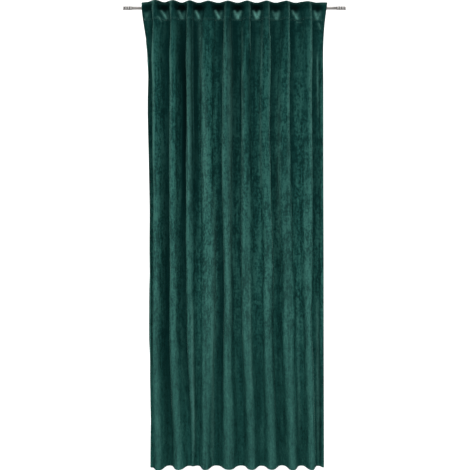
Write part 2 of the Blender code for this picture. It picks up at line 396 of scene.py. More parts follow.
@dataclass(frozen=True)
class SewingThread:
    """Twisted polyester thread."""

    name: str = "sewing_thread"
    colour: Triple = (0.016, 0.090, 0.076)
    shade: Triple = (0.007, 0.050, 0.043)
    twist: float = 3600.0
    turn: Triple = (0.0, 0.6, 0.3)
    fuzz: Pattern = Pattern((900.0, 900.0, 900.0))
    twist_bump: Pair = (0.0002, 0.6)

    def material(self) -> bpy.types.Material:
        """The finish as a material.

        Returns:
            A slightly glossy material with a twist.
        """
        tree = NodeTree(self.name)
        tree.set(Sheen_Weight=0.2, Sheen_Roughness=0.4, IOR=1.45)
        turns = tree.wave((self.twist, self.twist, self.twist), self.turn, 0.0)
        tree.feed("Base Color", tree.blended(turns, self.shade, self.colour))
        tree.feed("Roughness", tree.spread(tree.noise(self.fuzz), Span(0.3, 0.7, 0.42, 0.60)))
        tree.feed("Normal", tree.raised(turns, self.twist_bump))
        return tree.material


@dataclass(frozen=True)
class SatinMetal:
    """Brushed and clear-lacquered steel, with painted shade in its grooves.

    The brush marks have so many cells for each metre along the piece and around it.
    """

    name: str
    along: float
    around: float
    colour: Triple = (0.160, 0.153, 0.147)
    smudge: Triple = (0.110, 0.105, 0.100)
    # colour of the painted shade in the grooves
    groove: Triple = (0.012, 0.011, 0.010)
    smudges: Pattern = Pattern((38.0, 60.0, 60.0))
    mark_bump: Pair = (0.00006, 0.5)

    def material(self) -> bpy.types.Material:
        """The finish as a material.

        Returns:
            A metal with fine brush marks, faint smudges and painted shade in its grooves.
        """
        tree = NodeTree(self.name)
        tree.set(Metallic=1.0)
        marks = tree.noise(Pattern((self.along, self.around, self.around), 4.0, 0.65))
        smudges = tree.noise(self.smudges)
        smudged = tree.blended(tree.spread(smudges, Span(0.40, 0.72, 0.0, 0.8)), self.colour, self.smudge)
        # Painted shade in the grooves of the ribbed ends
        tree.feed("Base Color", tree.blended(tree.painted("painted_groove_shade"), smudged, self.groove))
        rough = tree.maths("ADD", tree.spread(marks, Span(0.3, 0.7, 0.26, 0.38)),
                           tree.spread(smudges, Span(0.4, 0.7, 0.0, 0.07)))
        tree.feed("Roughness", rough)
        tree.feed("Normal", tree.raised(marks, self.mark_bump))
        return tree.material


@dataclass(frozen=True)
class PaintedCove:
    """The studio's plain pale floor and the wall it curves up into."""

    name: str = "painted_cove"
    colour: Triple = (0.50, 0.50, 0.50)
    glow: float = 0.62

    def material(self) -> bpy.types.Material:
        """The finish as a material.

        Returns:
            A matt paint that glows a little.
        """
        tree = NodeTree(self.name)
        tree.set(Base_Color=(*self.colour, 1.0), Roughness=0.95, Specular_IOR_Level=0.1,
                 Emission_Color=(1.0, 1.0, 1.0, 1.0), Emission_Strength=self.glow)
        return tree.material


def new_object(name: str, points: Grid, faces: Sequence[Sequence[int]],
               material: bpy.types.Material) -> bpy.types.Object:
    """Makes a smooth mesh object.

    Args:
        name: The object's name.
        points: Its points, one in each row.
        faces: Its faces, as point numbers.
        material: Its material.

    Returns:
        The object, linked to the scene.
    """
    mesh = bpy.data.meshes.new(name)
    mesh.from_pydata(points.tolist(), [], [tuple(int(i) for i in face) for face in faces])
    mesh.validate()
    mesh.materials.append(material)
    mesh.shade_smooth()
    made = bpy.data.objects.new(name, mesh)
    bpy.context.scene.collection.objects.link(made)
    return made


def attach(piece: bpy.types.Object, replaced: Sequence[str] = ()) -> None:
    """Rides a piece on the part's one body, and hides the CAD nodes that it stands for.

    Args:
        piece: The piece.
        replaced: The CAD nodes that it stands for.
    """
    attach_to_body(piece, BODY)
    if replaced:
        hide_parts(*replaced)
    LOG.info("%s: %d faces", piece.name, len(piece.data.polygons))


def paint(piece: bpy.types.Object, name: str, values: Grid) -> None:
    """Stores a value at each of a piece's points, for its finish to read."""
    piece.data.attributes.new(name, "FLOAT", "POINT").data.foreach_set("value", values)


def unit(vectors: Grid) -> Grid:
    """The vectors at length 1."""
    return vectors / np.maximum(np.linalg.norm(vectors, axis=-1, keepdims=True), 1e-12)


def facing(points: Grid) -> Grid:
    """Unit normals of a grid of points, towards -Y for a sheet that runs along +X and down.

    Args:
        points: Rows by columns by 3, the top row first.

    Returns:
        A normal at each point.
    """
    across = np.gradient(points, axis=1)
    down = np.gradient(points, axis=0)
    return unit(np.cross(down, across))


def border(rows: int, columns: int) -> Grid:
    """The points round the edge of a grid.

    Args:
        rows: The grid's rows.
        columns: Its columns.

    Returns:
        Their numbers, along the top, down, back and up.
    """
    top = np.arange(columns)
    right = np.arange(1, rows) * columns + columns - 1
    bottom = (rows - 1) * columns + np.arange(columns - 2, -1, -1)
    left = np.arange(rows - 2, 0, -1) * columns
    return np.concatenate([top, right, bottom, left])


def round_faces(rings: int, sides: int, start: int = 0) -> list[tuple[int, ...]]:
    """Faces between rings of points round an axis.

    Args:
        rings: How many rings there are.
        sides: Points in each ring.
        start: The first point's number.

    Returns:
        The faces, ring by ring.
    """
    faces = []
    for first in range(start, start + (rings - 1) * sides, sides):
        for index in range(sides):
            a, b = first + index, first + (index + 1) % sides
            faces.append((a, b, b + sides, a + sides))
    return faces


def shell(front: Grid, back: Grid, rim_steps: int = 4) -> tuple[Grid, list[tuple[int, ...]]]:
    """Closes a front and a back surface into one sheet with a rounded edge all round.

    Args:
        front: Rows by columns by 3, the top row first.
        back: The same points on the back.
        rim_steps: Steps of the half-round edge.

    Returns:
        The points and the faces.
    """
    rows, columns = front.shape[:2]
    count = rows * columns
    cell = np.arange(count).reshape(rows, columns)
    a, b, c, d = cell[:-1, :-1], cell[:-1, 1:], cell[1:, 1:], cell[1:, :-1]
    quads = np.stack([a, d, c, b], axis=-1).reshape(-1, 4)
    faces = [tuple(quad) for quad in quads] + [tuple(quad[::-1] + count) for quad in quads]
    middle = (front + back) / 2.0
    out = np.zeros_like(front)
    out[0] += unit(middle[0] - middle[1])
    out[-1] += unit(middle[-1] - middle[-2])
    out[:, 0] += unit(middle[:, 0] - middle[:, 1])
    out[:, -1] += unit(middle[:, -1] - middle[:, -2])
    edge = border(rows, columns)
    f, g, m = (grid.reshape(-1, 3)[edge] for grid in (front, back, middle))
    away = unit(out.reshape(-1, 3)[edge]) * np.linalg.norm(f - g, axis=1, keepdims=True) / 2.0
    loops = [edge]
    points = [front.reshape(-1, 3), back.reshape(-1, 3)]
    start = 2 * count
    for step in range(1, rim_steps):
        angle = math.pi * step / rim_steps
        points.append(m + (f - m) * math.cos(angle) + away * math.sin(angle))
        loops.append(start + np.arange(len(edge)))
        start += len(edge)
    loops.append(edge + count)
    for inner, outer in zip(loops, loops[1:]):
        ring = np.stack([inner, np.roll(inner, -1), np.roll(outer, -1), outer], axis=-1)
        faces += [tuple(quad) for quad in ring]
    return np.concatenate(points), faces


@dataclass(frozen=True)
class Places:
    """One value at each height for which the tables give one, the same as in the solids."""

    heading: float
    upper: float
    lower: float
    hem: float


@dataclass(frozen=True)
class Valley:
    """A place where the cloth lies back: at a tab in the heading, and a furrow below it.

    Its flat strip narrows from the rod to the pinched width at the seam, and swings sideways as it
    does. Lower down it is as wide as flat says, and it runs out towards the hem. The arms are the
    creases that pull from its two sides to the point on the seam, with a facet between them; the arms'
    strengths also set their painted highlights, and the facet says how strong the facet's painted
    highlight is. The shade says how much painted shade lies in it and in its hollow at the rod. The
    reach says how far that shade spreads from the next fold's rim, and is below 0 where the rim stands
    on the left.
    """

    x: Places
    depth: Places
    swing: float
    pinched: float
    flat: float
    point: float
    left_arm: float
    right_arm: float
    facet: float
    shade: Places
    reach: float


@dataclass(frozen=True)
class Fold:
    """A fold that stands forward between two valleys.

    It leans to the left where its lean is below 0. Its near side then turns away behind a rim with a
    painted highlight, and the far rim says how much painted rim highlight the other side has.
    """

    x: Places
    cloth: Places
    lean: Places
    far_rim: float = 0.0


@dataclass(frozen=True)
class Crease:
    """A soft ridge or trough along a straight line, seen from the front."""

    start: Pair
    end: Pair
    height: float
    width: float

    def relief(self, x: Grid, z: Grid) -> Grid:
        """How far it lifts the cloth.

        Args:
            x: Where the points lie across the curtain.
            z: Their heights.

        Returns:
            The lift at each point, below 0 in a trough.
        """
        run = np.array(self.end) - np.array(self.start)
        share = ((x - self.start[0]) * run[0] + (z - self.start[1]) * run[1]) / (run @ run)
        held = np.clip(share, 0.0, 1.0)
        away = np.hypot(x - self.start[0] - held * run[0], z - self.start[1] - held * run[1])
        taper = np.sqrt(np.clip(4.0 * held * (1.0 - held), 0.0, 1.0))
        return self.height * taper * np.exp(-((away / self.width) ** 2))


@dataclass(frozen=True)
class Band:
    """A level ridge across the cloth, or a groove where its height is below 0, placed from the seam."""

    height: float
    place: float
    width: float

    def relief(self, z: Grid, seam: float) -> Grid:
        """Its height at each point."""
        return self.height * bump_at(z, seam + self.place, self.width)


@dataclass(frozen=True)
class Sway:
    """A slow bend sideways. Each fold and valley adds its own number times the turn to its phase."""

    size: float
    length: float
    turn: float
    phase: float

    def strayed(self, number: float, z: Grid) -> Grid:
        """How far the given line strays to the right at each height."""
        return self.size * np.sin(math.tau * z / self.length + self.turn * number + self.phase)


@dataclass(frozen=True)
class Ripples:
    """Slow waves with seeded directions and phases, for cloth that is nowhere quite even."""

    seed: int
    height: float
    across: Pair
    down: Pair
    count: int = 9

    def relief(self, s: Grid, z: Grid) -> Grid:
        """The waves' sum.

        Args:
            s: Where the points lie across the flat cloth.
            z: Their heights.

        Returns:
            The lift at each point.
        """
        draw = np.random.default_rng(self.seed)
        total = np.zeros(np.broadcast(s, z).shape)
        for _ in range(self.count):
            s_wave, z_wave = draw.uniform(*self.across), draw.uniform(*self.down)
            tilt, phase = draw.choice((-1.0, 1.0)), draw.uniform(0.0, math.tau)
            total += np.sin(math.tau * (s / s_wave + tilt * z / z_wave) + phase)
        return self.height * total / math.sqrt(self.count)


@dataclass(frozen=True)
class Tones:
    """The painted shade and painted highlights on the panel.

    A pair of heights or of shares of the way up a fold is where an effect starts and where it is full.
    """

    # Painted shade in the furrows
    hidden_shares: Pair = (0.30, 0.62)
    turned_away: Pair = (0.0, 0.25)
    furrow_core: float = 0.35
    furrow_reach: float = 0.85
    furrow_narrowed: float = 0.62
    narrowed_heights: Pair = (-0.15, -0.45)
    near_and_far: Pair = (0.87, 0.13)
    far_reach: float = 0.060
    # Painted shadow in the hollows at the rod
    hollow: float = 0.68
    hollow_across: float = 0.027
    hollow_up: float = 0.023
    hollow_down: float = 0.028
    hollow_edge: float = 1.3
    # Painted shade over the whole width, by height
    heading: float = 0.93
    under_heading: float = 0.42
    fades_at: float = -1.10
    seam_blur: Pair = (0.001, -0.010)
    paler_under_rod: float = 0.06
    under_rod_heights: Pair = (-0.012, -0.030)
    paler_over_rod: float = 0.09
    over_rod_heights: Pair = (-0.004, 0.008)
    seam_shade: float = 0.31
    seam_shade_reach: float = 0.068
    darkest: float = 1.6
    # Painted shade in crease troughs and painted highlights on crease ridges
    trough: float = 0.30
    ridge: float = 0.30
    full_crease: float = 0.0014
    # Painted highlights on rims, crests, arms, facets and edges
    rim: Pair = (0.52, 0.08)
    rim_shares: Pair = (0.42, 0.62)
    rim_end_shares: Pair = (0.88, 0.99)
    rim_near_seam: float = 0.85
    rim_heights: Pair = (-0.06, -0.30)
    crest: float = 0.20
    crest_shares: Pair = (0.60, 0.98)
    arm: float = 0.64
    facet: float = 0.5
    facet_widths: Pair = (0.021, 0.005)
    facet_heights: Pair = (-0.020, -0.036)
    facet_foot: Pair = (-0.001, 0.002)
    top_edge: float = 0.16
    top_edge_depths: Pair = (0.010, 0.002)
    lip: Band = Band(0.09, 0.0040, 0.0050)
    palest: float = 1.2
    # How uneven the pile lies, high up and low down; back is the painted shade and painted highlight on the
    # back, and back_mottled how uneven it is there
    mottled: Pair = (1.22, 0.58)
    mottled_heights: Pair = (-1.15, -2.05)
    back: float = 0.25
    back_mottled: float = 1.0

    def uneven(self, z: Grid) -> Grid:
        """How uneven the pile lies at each height."""
        return mixed(*self.mottled, eased(*self.mottled_heights, z))


@dataclass
class Panel:
    """The curtain's one cloth panel: its folds, its heading and its hems."""

    # The flat cloth and its hems
    flat_width: float = 1.400
    drop: float = 2.4382
    top: float = 0.0222
    heading: float = 0.0932
    bottom_hem: float = 0.060
    side_hem: float = 0.020
    stitch_in: float = 0.004
    thickness: float = 0.0018
    doubled: float = 0.0029
    doubled_step: float = 0.0016
    # How far forward the valleys lie at the rod, the top and the seam
    at_rod_y: float = -0.0113
    at_top_y: float = -0.0180
    at_seam_y: float = -0.0255
    upright: float = 0.010
    forward_bend: float = 1.15
    # Heights where the tables' values are reached
    below_seam: float = -0.160
    upper: float = -0.420
    lower: float = -1.650
    edge_drawn_in: float = -0.300
    # How the top edge and the hem rise and fall
    nods_at_top: float = 0.0036
    lifts_at_ends: float = 0.0040
    sags_at_hem: float = 0.0060
    left_end: Pair = (-0.20, -0.42)
    right_end: Pair = (0.42, 0.48)
    top_shapes_from: float = -0.030
    hem_shapes_from: float = 0.300
    # Widths of the valleys' flat strips
    flat_at_top: float = 0.008
    flat_at_rod: float = 0.042
    flat_at_hem: float = 0.004
    # How squarely the folds stand, and where their sides turn away
    sharp_at_top: float = 0.02
    sharp_at_heading: float = 0.62
    sharp_below: float = 0.60
    sharp_at_hem: float = 0.15
    sharp_by_lean: float = 0.58
    sharp_draws_back: float = 0.18
    crest_by_lean: float = 0.009
    # rim_by_lean and the far rims set where the painted rim highlights fall and where the furrows' painted
    # shade turns away
    rim_by_lean: float = 1.1
    far_rims_from: float = -1.0
    far_rim_leans: Pair = (0.05, -0.20)
    far_rim_at: Pair = (0.50, 0.11)
    edge_rise: float = 0.12
    dying_cloth: Pair = (0.2, 0.8)
    # Steps of the grid, and of the search for each fold's depth
    flank_steps: int = 12
    flat_steps: int = 9
    edge_steps: int = 8
    row_steps: tuple[Pair, ...] = (
        (-0.058, 0.0030), (-0.086, 0.0013), (-0.140, 0.0036), (-0.240, 0.0090),
        (-2.338, 0.0395), (-2.350, 0.0060), (-2.372, 0.0018), (-2.416, 0.0070),
    )
    depth_range: Pair = (0.001, 0.100)
    depth_steps: int = 22
    # The seam under the heading
    lip: Band = Band(0.0011, 0.0060, 0.0048)
    groove: Band = Band(-0.0016, -0.0004, 0.0022)
    seam_soft: Pair = (0.001, -0.002)
    step_down: float = 0.0007
    step_ends: float = -0.110
    gathers: Ripples = Ripples(31, 0.00055, (0.017, 0.028), (0.25, 0.60), 7)
    gathers_reach: float = 0.016
    stitch_pull: Band = Band(0.0006, 0.0, 0.002)
    # Waves and creases
    sways: tuple[Sway, ...] = (Sway(0.0028, 1.30, 2.1, 0.0), Sway(0.0012, 0.47, 3.7, 1.0))
    drape: Ripples = Ripples(5, 0.0010, (0.11, 0.30), (0.5, 1.6))
    crinkles: Ripples = Ripples(8, 0.0006, (0.030, 0.080), (0.20, 0.70), 12)
    puckers: Ripples = Ripples(13, 1.0, (0.05, 0.14), (0.011, 0.020), 6)
    pucker_height: float = 0.0004
    near_rod: tuple[Pair, Pair] = ((-0.060, -0.020), (-0.028, -0.016))
    calm: float = 0.35
    calm_ends: float = -0.35
    arm_spread: Pair = (0.019, 0.001)
    arm_ends: Pair = (-0.014, 0.002)
    arm_height: float = 0.0046
    arm_width: float = 0.0070
    # Tables of the valleys, the folds, the edges and the creases
    valleys: tuple[Valley, ...] = (
        Valley(Places(-0.463, -0.444, -0.4375, -0.438), Places(0, -0.014, -0.030, -0.044),
               0.016, 0.036, 0.010, -0.47, 0.0, 0.2, 0.25, Places(0.60, 0.52, 0.05, 0.10), 0.022),
        Valley(Places(-0.371, -0.355, -0.357, -0.342), Places(0, -0.016, -0.007, -0.010),
               0.028, 0.012, 0.010, -0.35, 1.0, 0.2, 0.1, Places(0.88, 0.80, 0.95, 0.34), 0.042),
        Valley(Places(-0.278, -0.271, -0.271, -0.233), Places(0, -0.009, -0.013, -0.013),
               0.016, 0.011, 0.019, -0.271, 0.9, 0.2, 0.15, Places(1.00, 1.38, 0.72, 0.26), 0.034),
        Valley(Places(-0.188, -0.194, -0.188, -0.197), Places(0, -0.015, -0.026, -0.012),
               -0.008, 0.007, 0.007, -0.18, 1.1, 0.1, 0.05, Places(1.00, 1.00, 0.32, 0.24), -0.013),
        Valley(Places(-0.085, -0.085, -0.076, -0.097), Places(0, -0.021, -0.008, -0.008),
               0.01, 0.016, 0.013, -0.076, 1.5, 0.4, 0.1, Places(1.00, 0.52, 0.85, 0.34), 0.027),
        Valley(Places(0.017, 0.009, 0.013, 0.040), Places(0, -0.016, -0.016, -0.011),
               -0.01, 0.032, 0.024, 0.017, 1.0, 0.9, 0.8, Places(1.00, 0.62, 0.30, 0.25), -0.030),
        Valley(Places(0.116, 0.106, 0.126, 0.141), Places(0, -0.026, -0.024, -0.012),
               -0.01, 0.034, 0.020, 0.119, 1.1, 1.1, 0.7, Places(1.00, 0.48, 0.22, 0.26), -0.026),
        Valley(Places(0.217, 0.204, 0.222, 0.252), Places(0, -0.018, -0.014, -0.007),
               -0.008, 0.04, 0.012, 0.222, 0.35, 0.40, 0.60, Places(0.78, 0.74, 0.36, 0.28), -0.026),
        Valley(Places(0.321, 0.305, 0.341, 0.356), Places(0, -0.022, -0.029, -0.012),
               -0.006, 0.042, 0.012, 0.332, 1.1, 0.1, 0.35, Places(0.84, 0.80, 0.10, 0.24), -0.021),
        Valley(Places(0.439, 0.431, 0.430, 0.438), Places(0, -0.013, -0.016, -0.014),
               -0.006, 0.036, 0.017, 0.436, 0.55, 0.30, 0.50, Places(0.76, 0.76, 0.28, 0.28), -0.024),
    )
    folds: tuple[Fold, ...] = (
        Fold(Places(-0.412, -0.398, -0.403, -0.393), Places(1.00, 0.98, 0.94, 0.96),
             Places(-0.80, -0.80, -0.70, -0.50)),
        Fold(Places(-0.319, -0.309, -0.312, -0.286), Places(1.00, 1.00, 1.05, 1.10),
             Places(-0.80, -0.80, -0.70, -0.50)),
        Fold(Places(-0.233, -0.231, -0.228, -0.214), Places(1.00, 0.96, 0.90, 0.27),
             Places(-0.60, -0.60, -0.50, -0.40), 0.80),
        Fold(Places(-0.137, -0.150, -0.144, -0.155), Places(1.00, 1.02, 1.02, 1.10),
             Places(0.0, 0.0, -0.05, -0.10)),
        Fold(Places(-0.034, -0.034, -0.030, -0.020), Places(1.00, 1.00, 1.00, 1.18),
             Places(-0.34, -0.45, -0.45, -0.30), 0.45),
        Fold(Places(0.066, 0.064, 0.071, 0.092), Places(1.00, 1.02, 1.04, 1.06),
             Places(0.50, -0.50, -0.45, -0.20)),
        Fold(Places(0.168, 0.164, 0.175, 0.192), Places(1.00, 0.96, 0.98, 1.10),
             Places(0.50, 0.40, 0.10, 0.12), 0.50),
        Fold(Places(0.271, 0.258, 0.277, 0.306), Places(1.00, 1.02, 1.06, 1.10),
             Places(0.70, 0.52, 0.05, 0.10)),
        Fold(Places(0.382, 0.371, 0.383, 0.400), Places(1.00, 1.04, 0.99, 1.02),
             Places(0.66, 0.70, 0.40, 0.35)),
    )
    left_edge: tuple[Places, Places] = (
        Places(-0.489, -0.4515, -0.4375, -0.4395), Places(-0.0113, -0.029, -0.036, -0.038))
    right_edge: tuple[Places, Places] = (
        Places(0.489, 0.4645, 0.4665, 0.4675), Places(-0.0113, -0.040, -0.040, -0.042))
    creases: tuple[Crease, ...] = (
        Crease((0.4394, -0.0833), (0.455, -0.1202), 0.0030, 0.0050),
        Crease((0.3251, -0.0806), (0.3563, -0.0859), 0.0018, 0.0034),
        Crease((-0.4051, -0.0569), (-0.3818, -0.0727), 0.0012, 0.0035),
        Crease((-0.3973, -0.0648), (-0.3766, -0.0859), 0.0012, 0.0035),
        Crease((-0.1820, -0.0727), (-0.1660, -0.4574), 0.0016, 0.0110),
        Crease((-0.1600, -0.3800), (-0.1525, -1.0900), 0.0014, 0.0150),
        Crease((-0.1167, -0.0938), (-0.1063, -0.5892), -0.0012, 0.0050),
        Crease((-0.1100, -0.9300), (-0.1060, -1.8500), 0.0013, 0.0120),
        Crease((-0.0257, -0.0727), (-0.0270, -1.7000), 0.0014, 0.0140),
        Crease((-0.2370, -0.0727), (-0.2340, -1.0600), 0.0013, 0.0100),
        Crease((0.1354, -0.4574), (0.1406, -0.9840), 0.0012, 0.0060),
        Crease((0.2680, -0.5200), (0.2730, -1.5600), -0.0025, 0.0200),
        Crease((0.2360, -0.4600), (0.2370, -1.2200), 0.0012, 0.0120),
        Crease((0.1640, -0.5200), (0.1660, -1.0500), -0.0009, 0.0110),
        Crease((0.3760, -0.0727), (0.3780, -1.3500), -0.0014, 0.0150),
        Crease((0.2580, -0.0727), (0.2600, -0.5800), -0.0010, 0.0150),
        Crease((0.0392, -0.1043), (0.0444, -0.273), 0.0012, 0.0040),
        Crease((0.06, -0.1149), (0.0652, -0.352), -0.0012, 0.0040),
        Crease((0.1432, -0.0938), (0.1406, -0.4574), 0.0012, 0.0060),
        Crease((0.112, -0.5365), (0.1224, -1.327), -0.0012, 0.0060),
        Crease((0.2523, -0.1676), (0.2575, -0.7473), 0.0010, 0.0070),
        Crease((0.3615, -0.1149), (0.3667, -0.7473), -0.0011, 0.0080),
        Crease((0.4368, -0.2308), (0.4394, -0.5786), 0.0022, 0.0042),
        Crease((-0.0335, -0.5892), (-0.0283, -1.5378), -0.0010, 0.0060),
        Crease((-0.3038, -0.2203), (-0.2986, -0.8527), -0.0010, 0.0060),
        Crease((-0.4025, -0.4311), (-0.3973, -1.2743), -0.0010, 0.0070),
        Crease((-0.1141, -1.5378), (-0.1160, -2.4160), 0.0018, 0.0080),
        Crease((-0.1531, -1.6432), (-0.1479, -2.2229), -0.0012, 0.0060),
        Crease((-0.2206, -1.5378), (-0.2128, -2.3546), 0.0018, 0.0060),
        Crease((0.0808, -1.3797), (0.086, -2.0648), 0.0012, 0.0070),
        Crease((0.1276, -1.4324), (0.1354, -2.2756), -0.0014, 0.0070),
        Crease((0.2315, -1.2216), (0.2393, -2.1702), -0.0014, 0.0080),
        Crease((0.3329, -1.4851), (0.3407, -2.3283), 0.0010, 0.0060),
        Crease((0.2835, -1.4324), (0.2887, -2.0648), -0.0010, 0.0060),
        Crease((0.4368, -1.5378), (0.4410, -2.3800), 0.0020, 0.0065),
        Crease((-0.3973, -1.2216), (-0.3947, -2.2229), -0.0012, 0.0080),
    )
    tones: Tones = field(default_factory=Tones)
    finish: PileVelvet = field(default_factory=PileVelvet)

    @property
    def hem(self) -> float:
        """Height of the bottom hem's edge."""
        return self.top - self.drop

    @property
    def seam(self) -> float:
        """Height of the stitched line under the heading."""
        return self.top - self.heading

    @property
    def hem_line(self) -> float:
        """Height of the line that is stitched along the bottom hem."""
        return self.hem + self.bottom_hem - self.stitch_in

    def row_heights(self) -> Grid:
        """The rows that the cloth is built on.

        Returns:
            Their heights from the top down, close together where the cloth has fine shapes.
        """
        heights = [self.top]
        for end, step in self.row_steps:
            count = max(1, round((heights[-1] - end) / step))
            heights += list(np.linspace(heights[-1], end, count + 1)[1:])
        return np.array(heights)

    def first_column(self, number: int) -> int:
        """The first column of a valley's strip, the valleys counted from the left."""
        return self.edge_steps + number * (self.flat_steps + 2 * self.flank_steps)

    def placed(self, places: Places, z: Grid, opened: Grid | None = None) -> Grid:
        """A table's value at each height.

        Args:
            places: The table.
            z: Heights.
            opened: How far the value has gone from the heading's to the next. Where it isn't given, it
                starts at the seam.

        Returns:
            The value at each height.
        """
        opened = eased(self.seam, self.upper, z) if opened is None else opened
        value = mixed(places.heading, places.upper, opened)
        value = mixed(value, places.lower, eased(self.upper, self.lower, z))
        return mixed(value, places.hem, eased(self.lower, self.hem, z))

    def wandering(self, number: float, z: Grid) -> Grid:
        """How far a fold or a valley strays sideways from its straight line.

        Args:
            number: Which line it is, so that each strays its own way.
            z: Heights.

        Returns:
            The distance to the right.
        """
        return eased(self.seam, self.upper, z) * sum(sway.strayed(number, z) for sway in self.sways)

    def valley_y(self, depth: Places, z: Grid) -> Grid:
        """How far back a valley lies.

        Args:
            depth: The valley's own depths below the heading.
            z: Heights.

        Returns:
            The valley's y: against the rod, forward at the seam, then its own depth.
        """
        y = mixed(self.at_rod_y, self.at_top_y, eased(self.upright, self.top, z))
        forward = mixed(self.at_rod_y, self.at_seam_y, self.below_rod(z) ** self.forward_bend)
        y = np.where(z < -self.upright, forward, y)
        own = self.placed(replace(depth, heading=self.at_seam_y), z, eased(self.seam, self.below_seam, z))
        return np.where(z < self.seam, own, y)

    def below_rod(self, z: Grid) -> Grid:
        """How far down from the rod to the seam a height lies, from 0 to 1."""
        return np.clip((-self.upright - z) / (-self.upright - self.seam), 0.0, 1.0)

    def seam_step(self, places: Pair, z: Grid) -> Grid:
        """A smooth step between two heights, each given from the seam."""
        return eased(self.seam + places[0], self.seam + places[1], z)

    def strip(self, number: int, z: Grid) -> tuple[Grid, Grid]:
        """A valley's flat strip.

        Args:
            number: Which valley it is, from the left.
            z: Heights.

        Returns:
            The (x, y) of its middle and its width, at each height.
        """
        valley = self.valleys[number]
        above = eased(self.upright, self.top, z)
        width = mixed(mixed(self.flat_at_rod, self.flat_at_top, above), valley.pinched, self.below_rod(z))
        width = mixed(width, valley.flat, eased(self.seam, 2.0 * self.below_seam, z))
        width = mixed(width, self.flat_at_hem, eased(self.lower, self.hem, z))
        swing = valley.swing * self.below_rod(z) * eased(2.0 * self.below_seam, self.seam, z)
        x = self.placed(valley.x, z) + swing + self.wandering(number, z)
        return np.stack([x, self.valley_y(valley.depth, z)], axis=-1), width

    def sharpness(self, z: Grid, lean: Grid | float) -> Grid:
        """How squarely a fold's side stands.

        Args:
            z: Heights.
            lean: How far the fold leans away from that side at each height.

        Returns:
            The sharpness at each height.
        """
        level = mixed(self.sharp_at_heading, self.sharp_at_top, eased(0.0, self.top, z))
        level = mixed(level, self.sharp_below, eased(self.seam, self.upper, z))
        level = mixed(level, self.sharp_at_hem, eased(self.lower, self.hem, z))
        return level * (1.0 + self.sharp_by_lean * lean / self.sharp_at_heading)

    def edge(self, places: tuple[Places, Places], z: Grid) -> Grid:
        """A side edge of the cloth at each height, drawn in under the heading, sooner on the right.

        Args:
            places: The tables of its x and its y.
            z: Heights.

        Returns:
            One (x, y) for each height.
        """
        across, depth = places
        drop = np.clip((self.top - z) / (self.top - self.edge_drawn_in), 0.0, 1.0)
        drawn_in = mixed(eased(0.0, 1.0, drop), 1.0 - (1.0 - drop) ** 2, float(across.heading > 0.0))
        return np.stack([self.placed(across, z, drawn_in), self.placed(depth, z)], axis=-1)

    def flank(self, foot: Grid, crest: Grid, sharp: Grid, steps: int) -> Grid:
        """A fold's side from its foot up to just before its crest, at every height.

        Args:
            foot: One (x, y) for each height.
            crest: The same for the crest.
            sharp: How squarely the side stands.
            steps: Points to make.

        Returns:
            Heights by steps by (x, y).
        """
        share = np.arange(steps) / steps
        sharp = sharp[:, None]
        across = share + sharp * np.sin(math.tau * share) / math.tau
        across = across - self.sharp_draws_back * sharp * np.sin(math.pi * share) ** 2
        forward = np.broadcast_to((1.0 - np.cos(math.pi * share)) / 2.0, across.shape)
        x = mixed(foot[:, :1], crest[:, :1], across)
        return np.stack([x, mixed(foot[:, 1:], crest[:, 1:], forward)], axis=-1)

    @staticmethod
    def length(line: Grid) -> Grid:
        """Length of the line at each height."""
        return np.linalg.norm(np.diff(line, axis=1), axis=-1).sum(axis=1)

    def fold_line(self, left: Grid, right: Grid, crest_x: Grid, fold: Fold, z: Grid, cloth: Grid) -> Grid:
        """A fold at every height, as deep as its cloth allows.

        Args:
            left: Its left foot at each height.
            right: Its right foot.
            crest_x: Where its crest stands.
            fold: The fold.
            z: Heights.
            cloth: Flat cloth that it holds at each height.

        Returns:
            Heights by points by (x, y), without the right foot.
        """
        nearest = np.minimum(left[:, 1], right[:, 1])
        shallow, deep = (nearest - depth for depth in self.depth_range)
        lean = self.placed(fold.lean, z)
        sharp_left, sharp_right = self.sharpness(z, -lean), self.sharpness(z, lean)
        line = np.empty(0)
        for _ in range(self.depth_steps):
            crest = np.stack([crest_x, (shallow + deep) / 2.0], axis=-1)
            rise = self.flank(left, crest, sharp_left, self.flank_steps)
            fall = self.flank(right, crest, sharp_right, self.flank_steps)
            line = np.concatenate([rise, crest[:, None], fall[:, :0:-1]], axis=1)
            short = self.length(np.concatenate([line, right[:, None]], axis=1)) < cloth
            shallow, deep = np.where(short, crest[:, 1], shallow), np.where(short, deep, crest[:, 1])
        return line

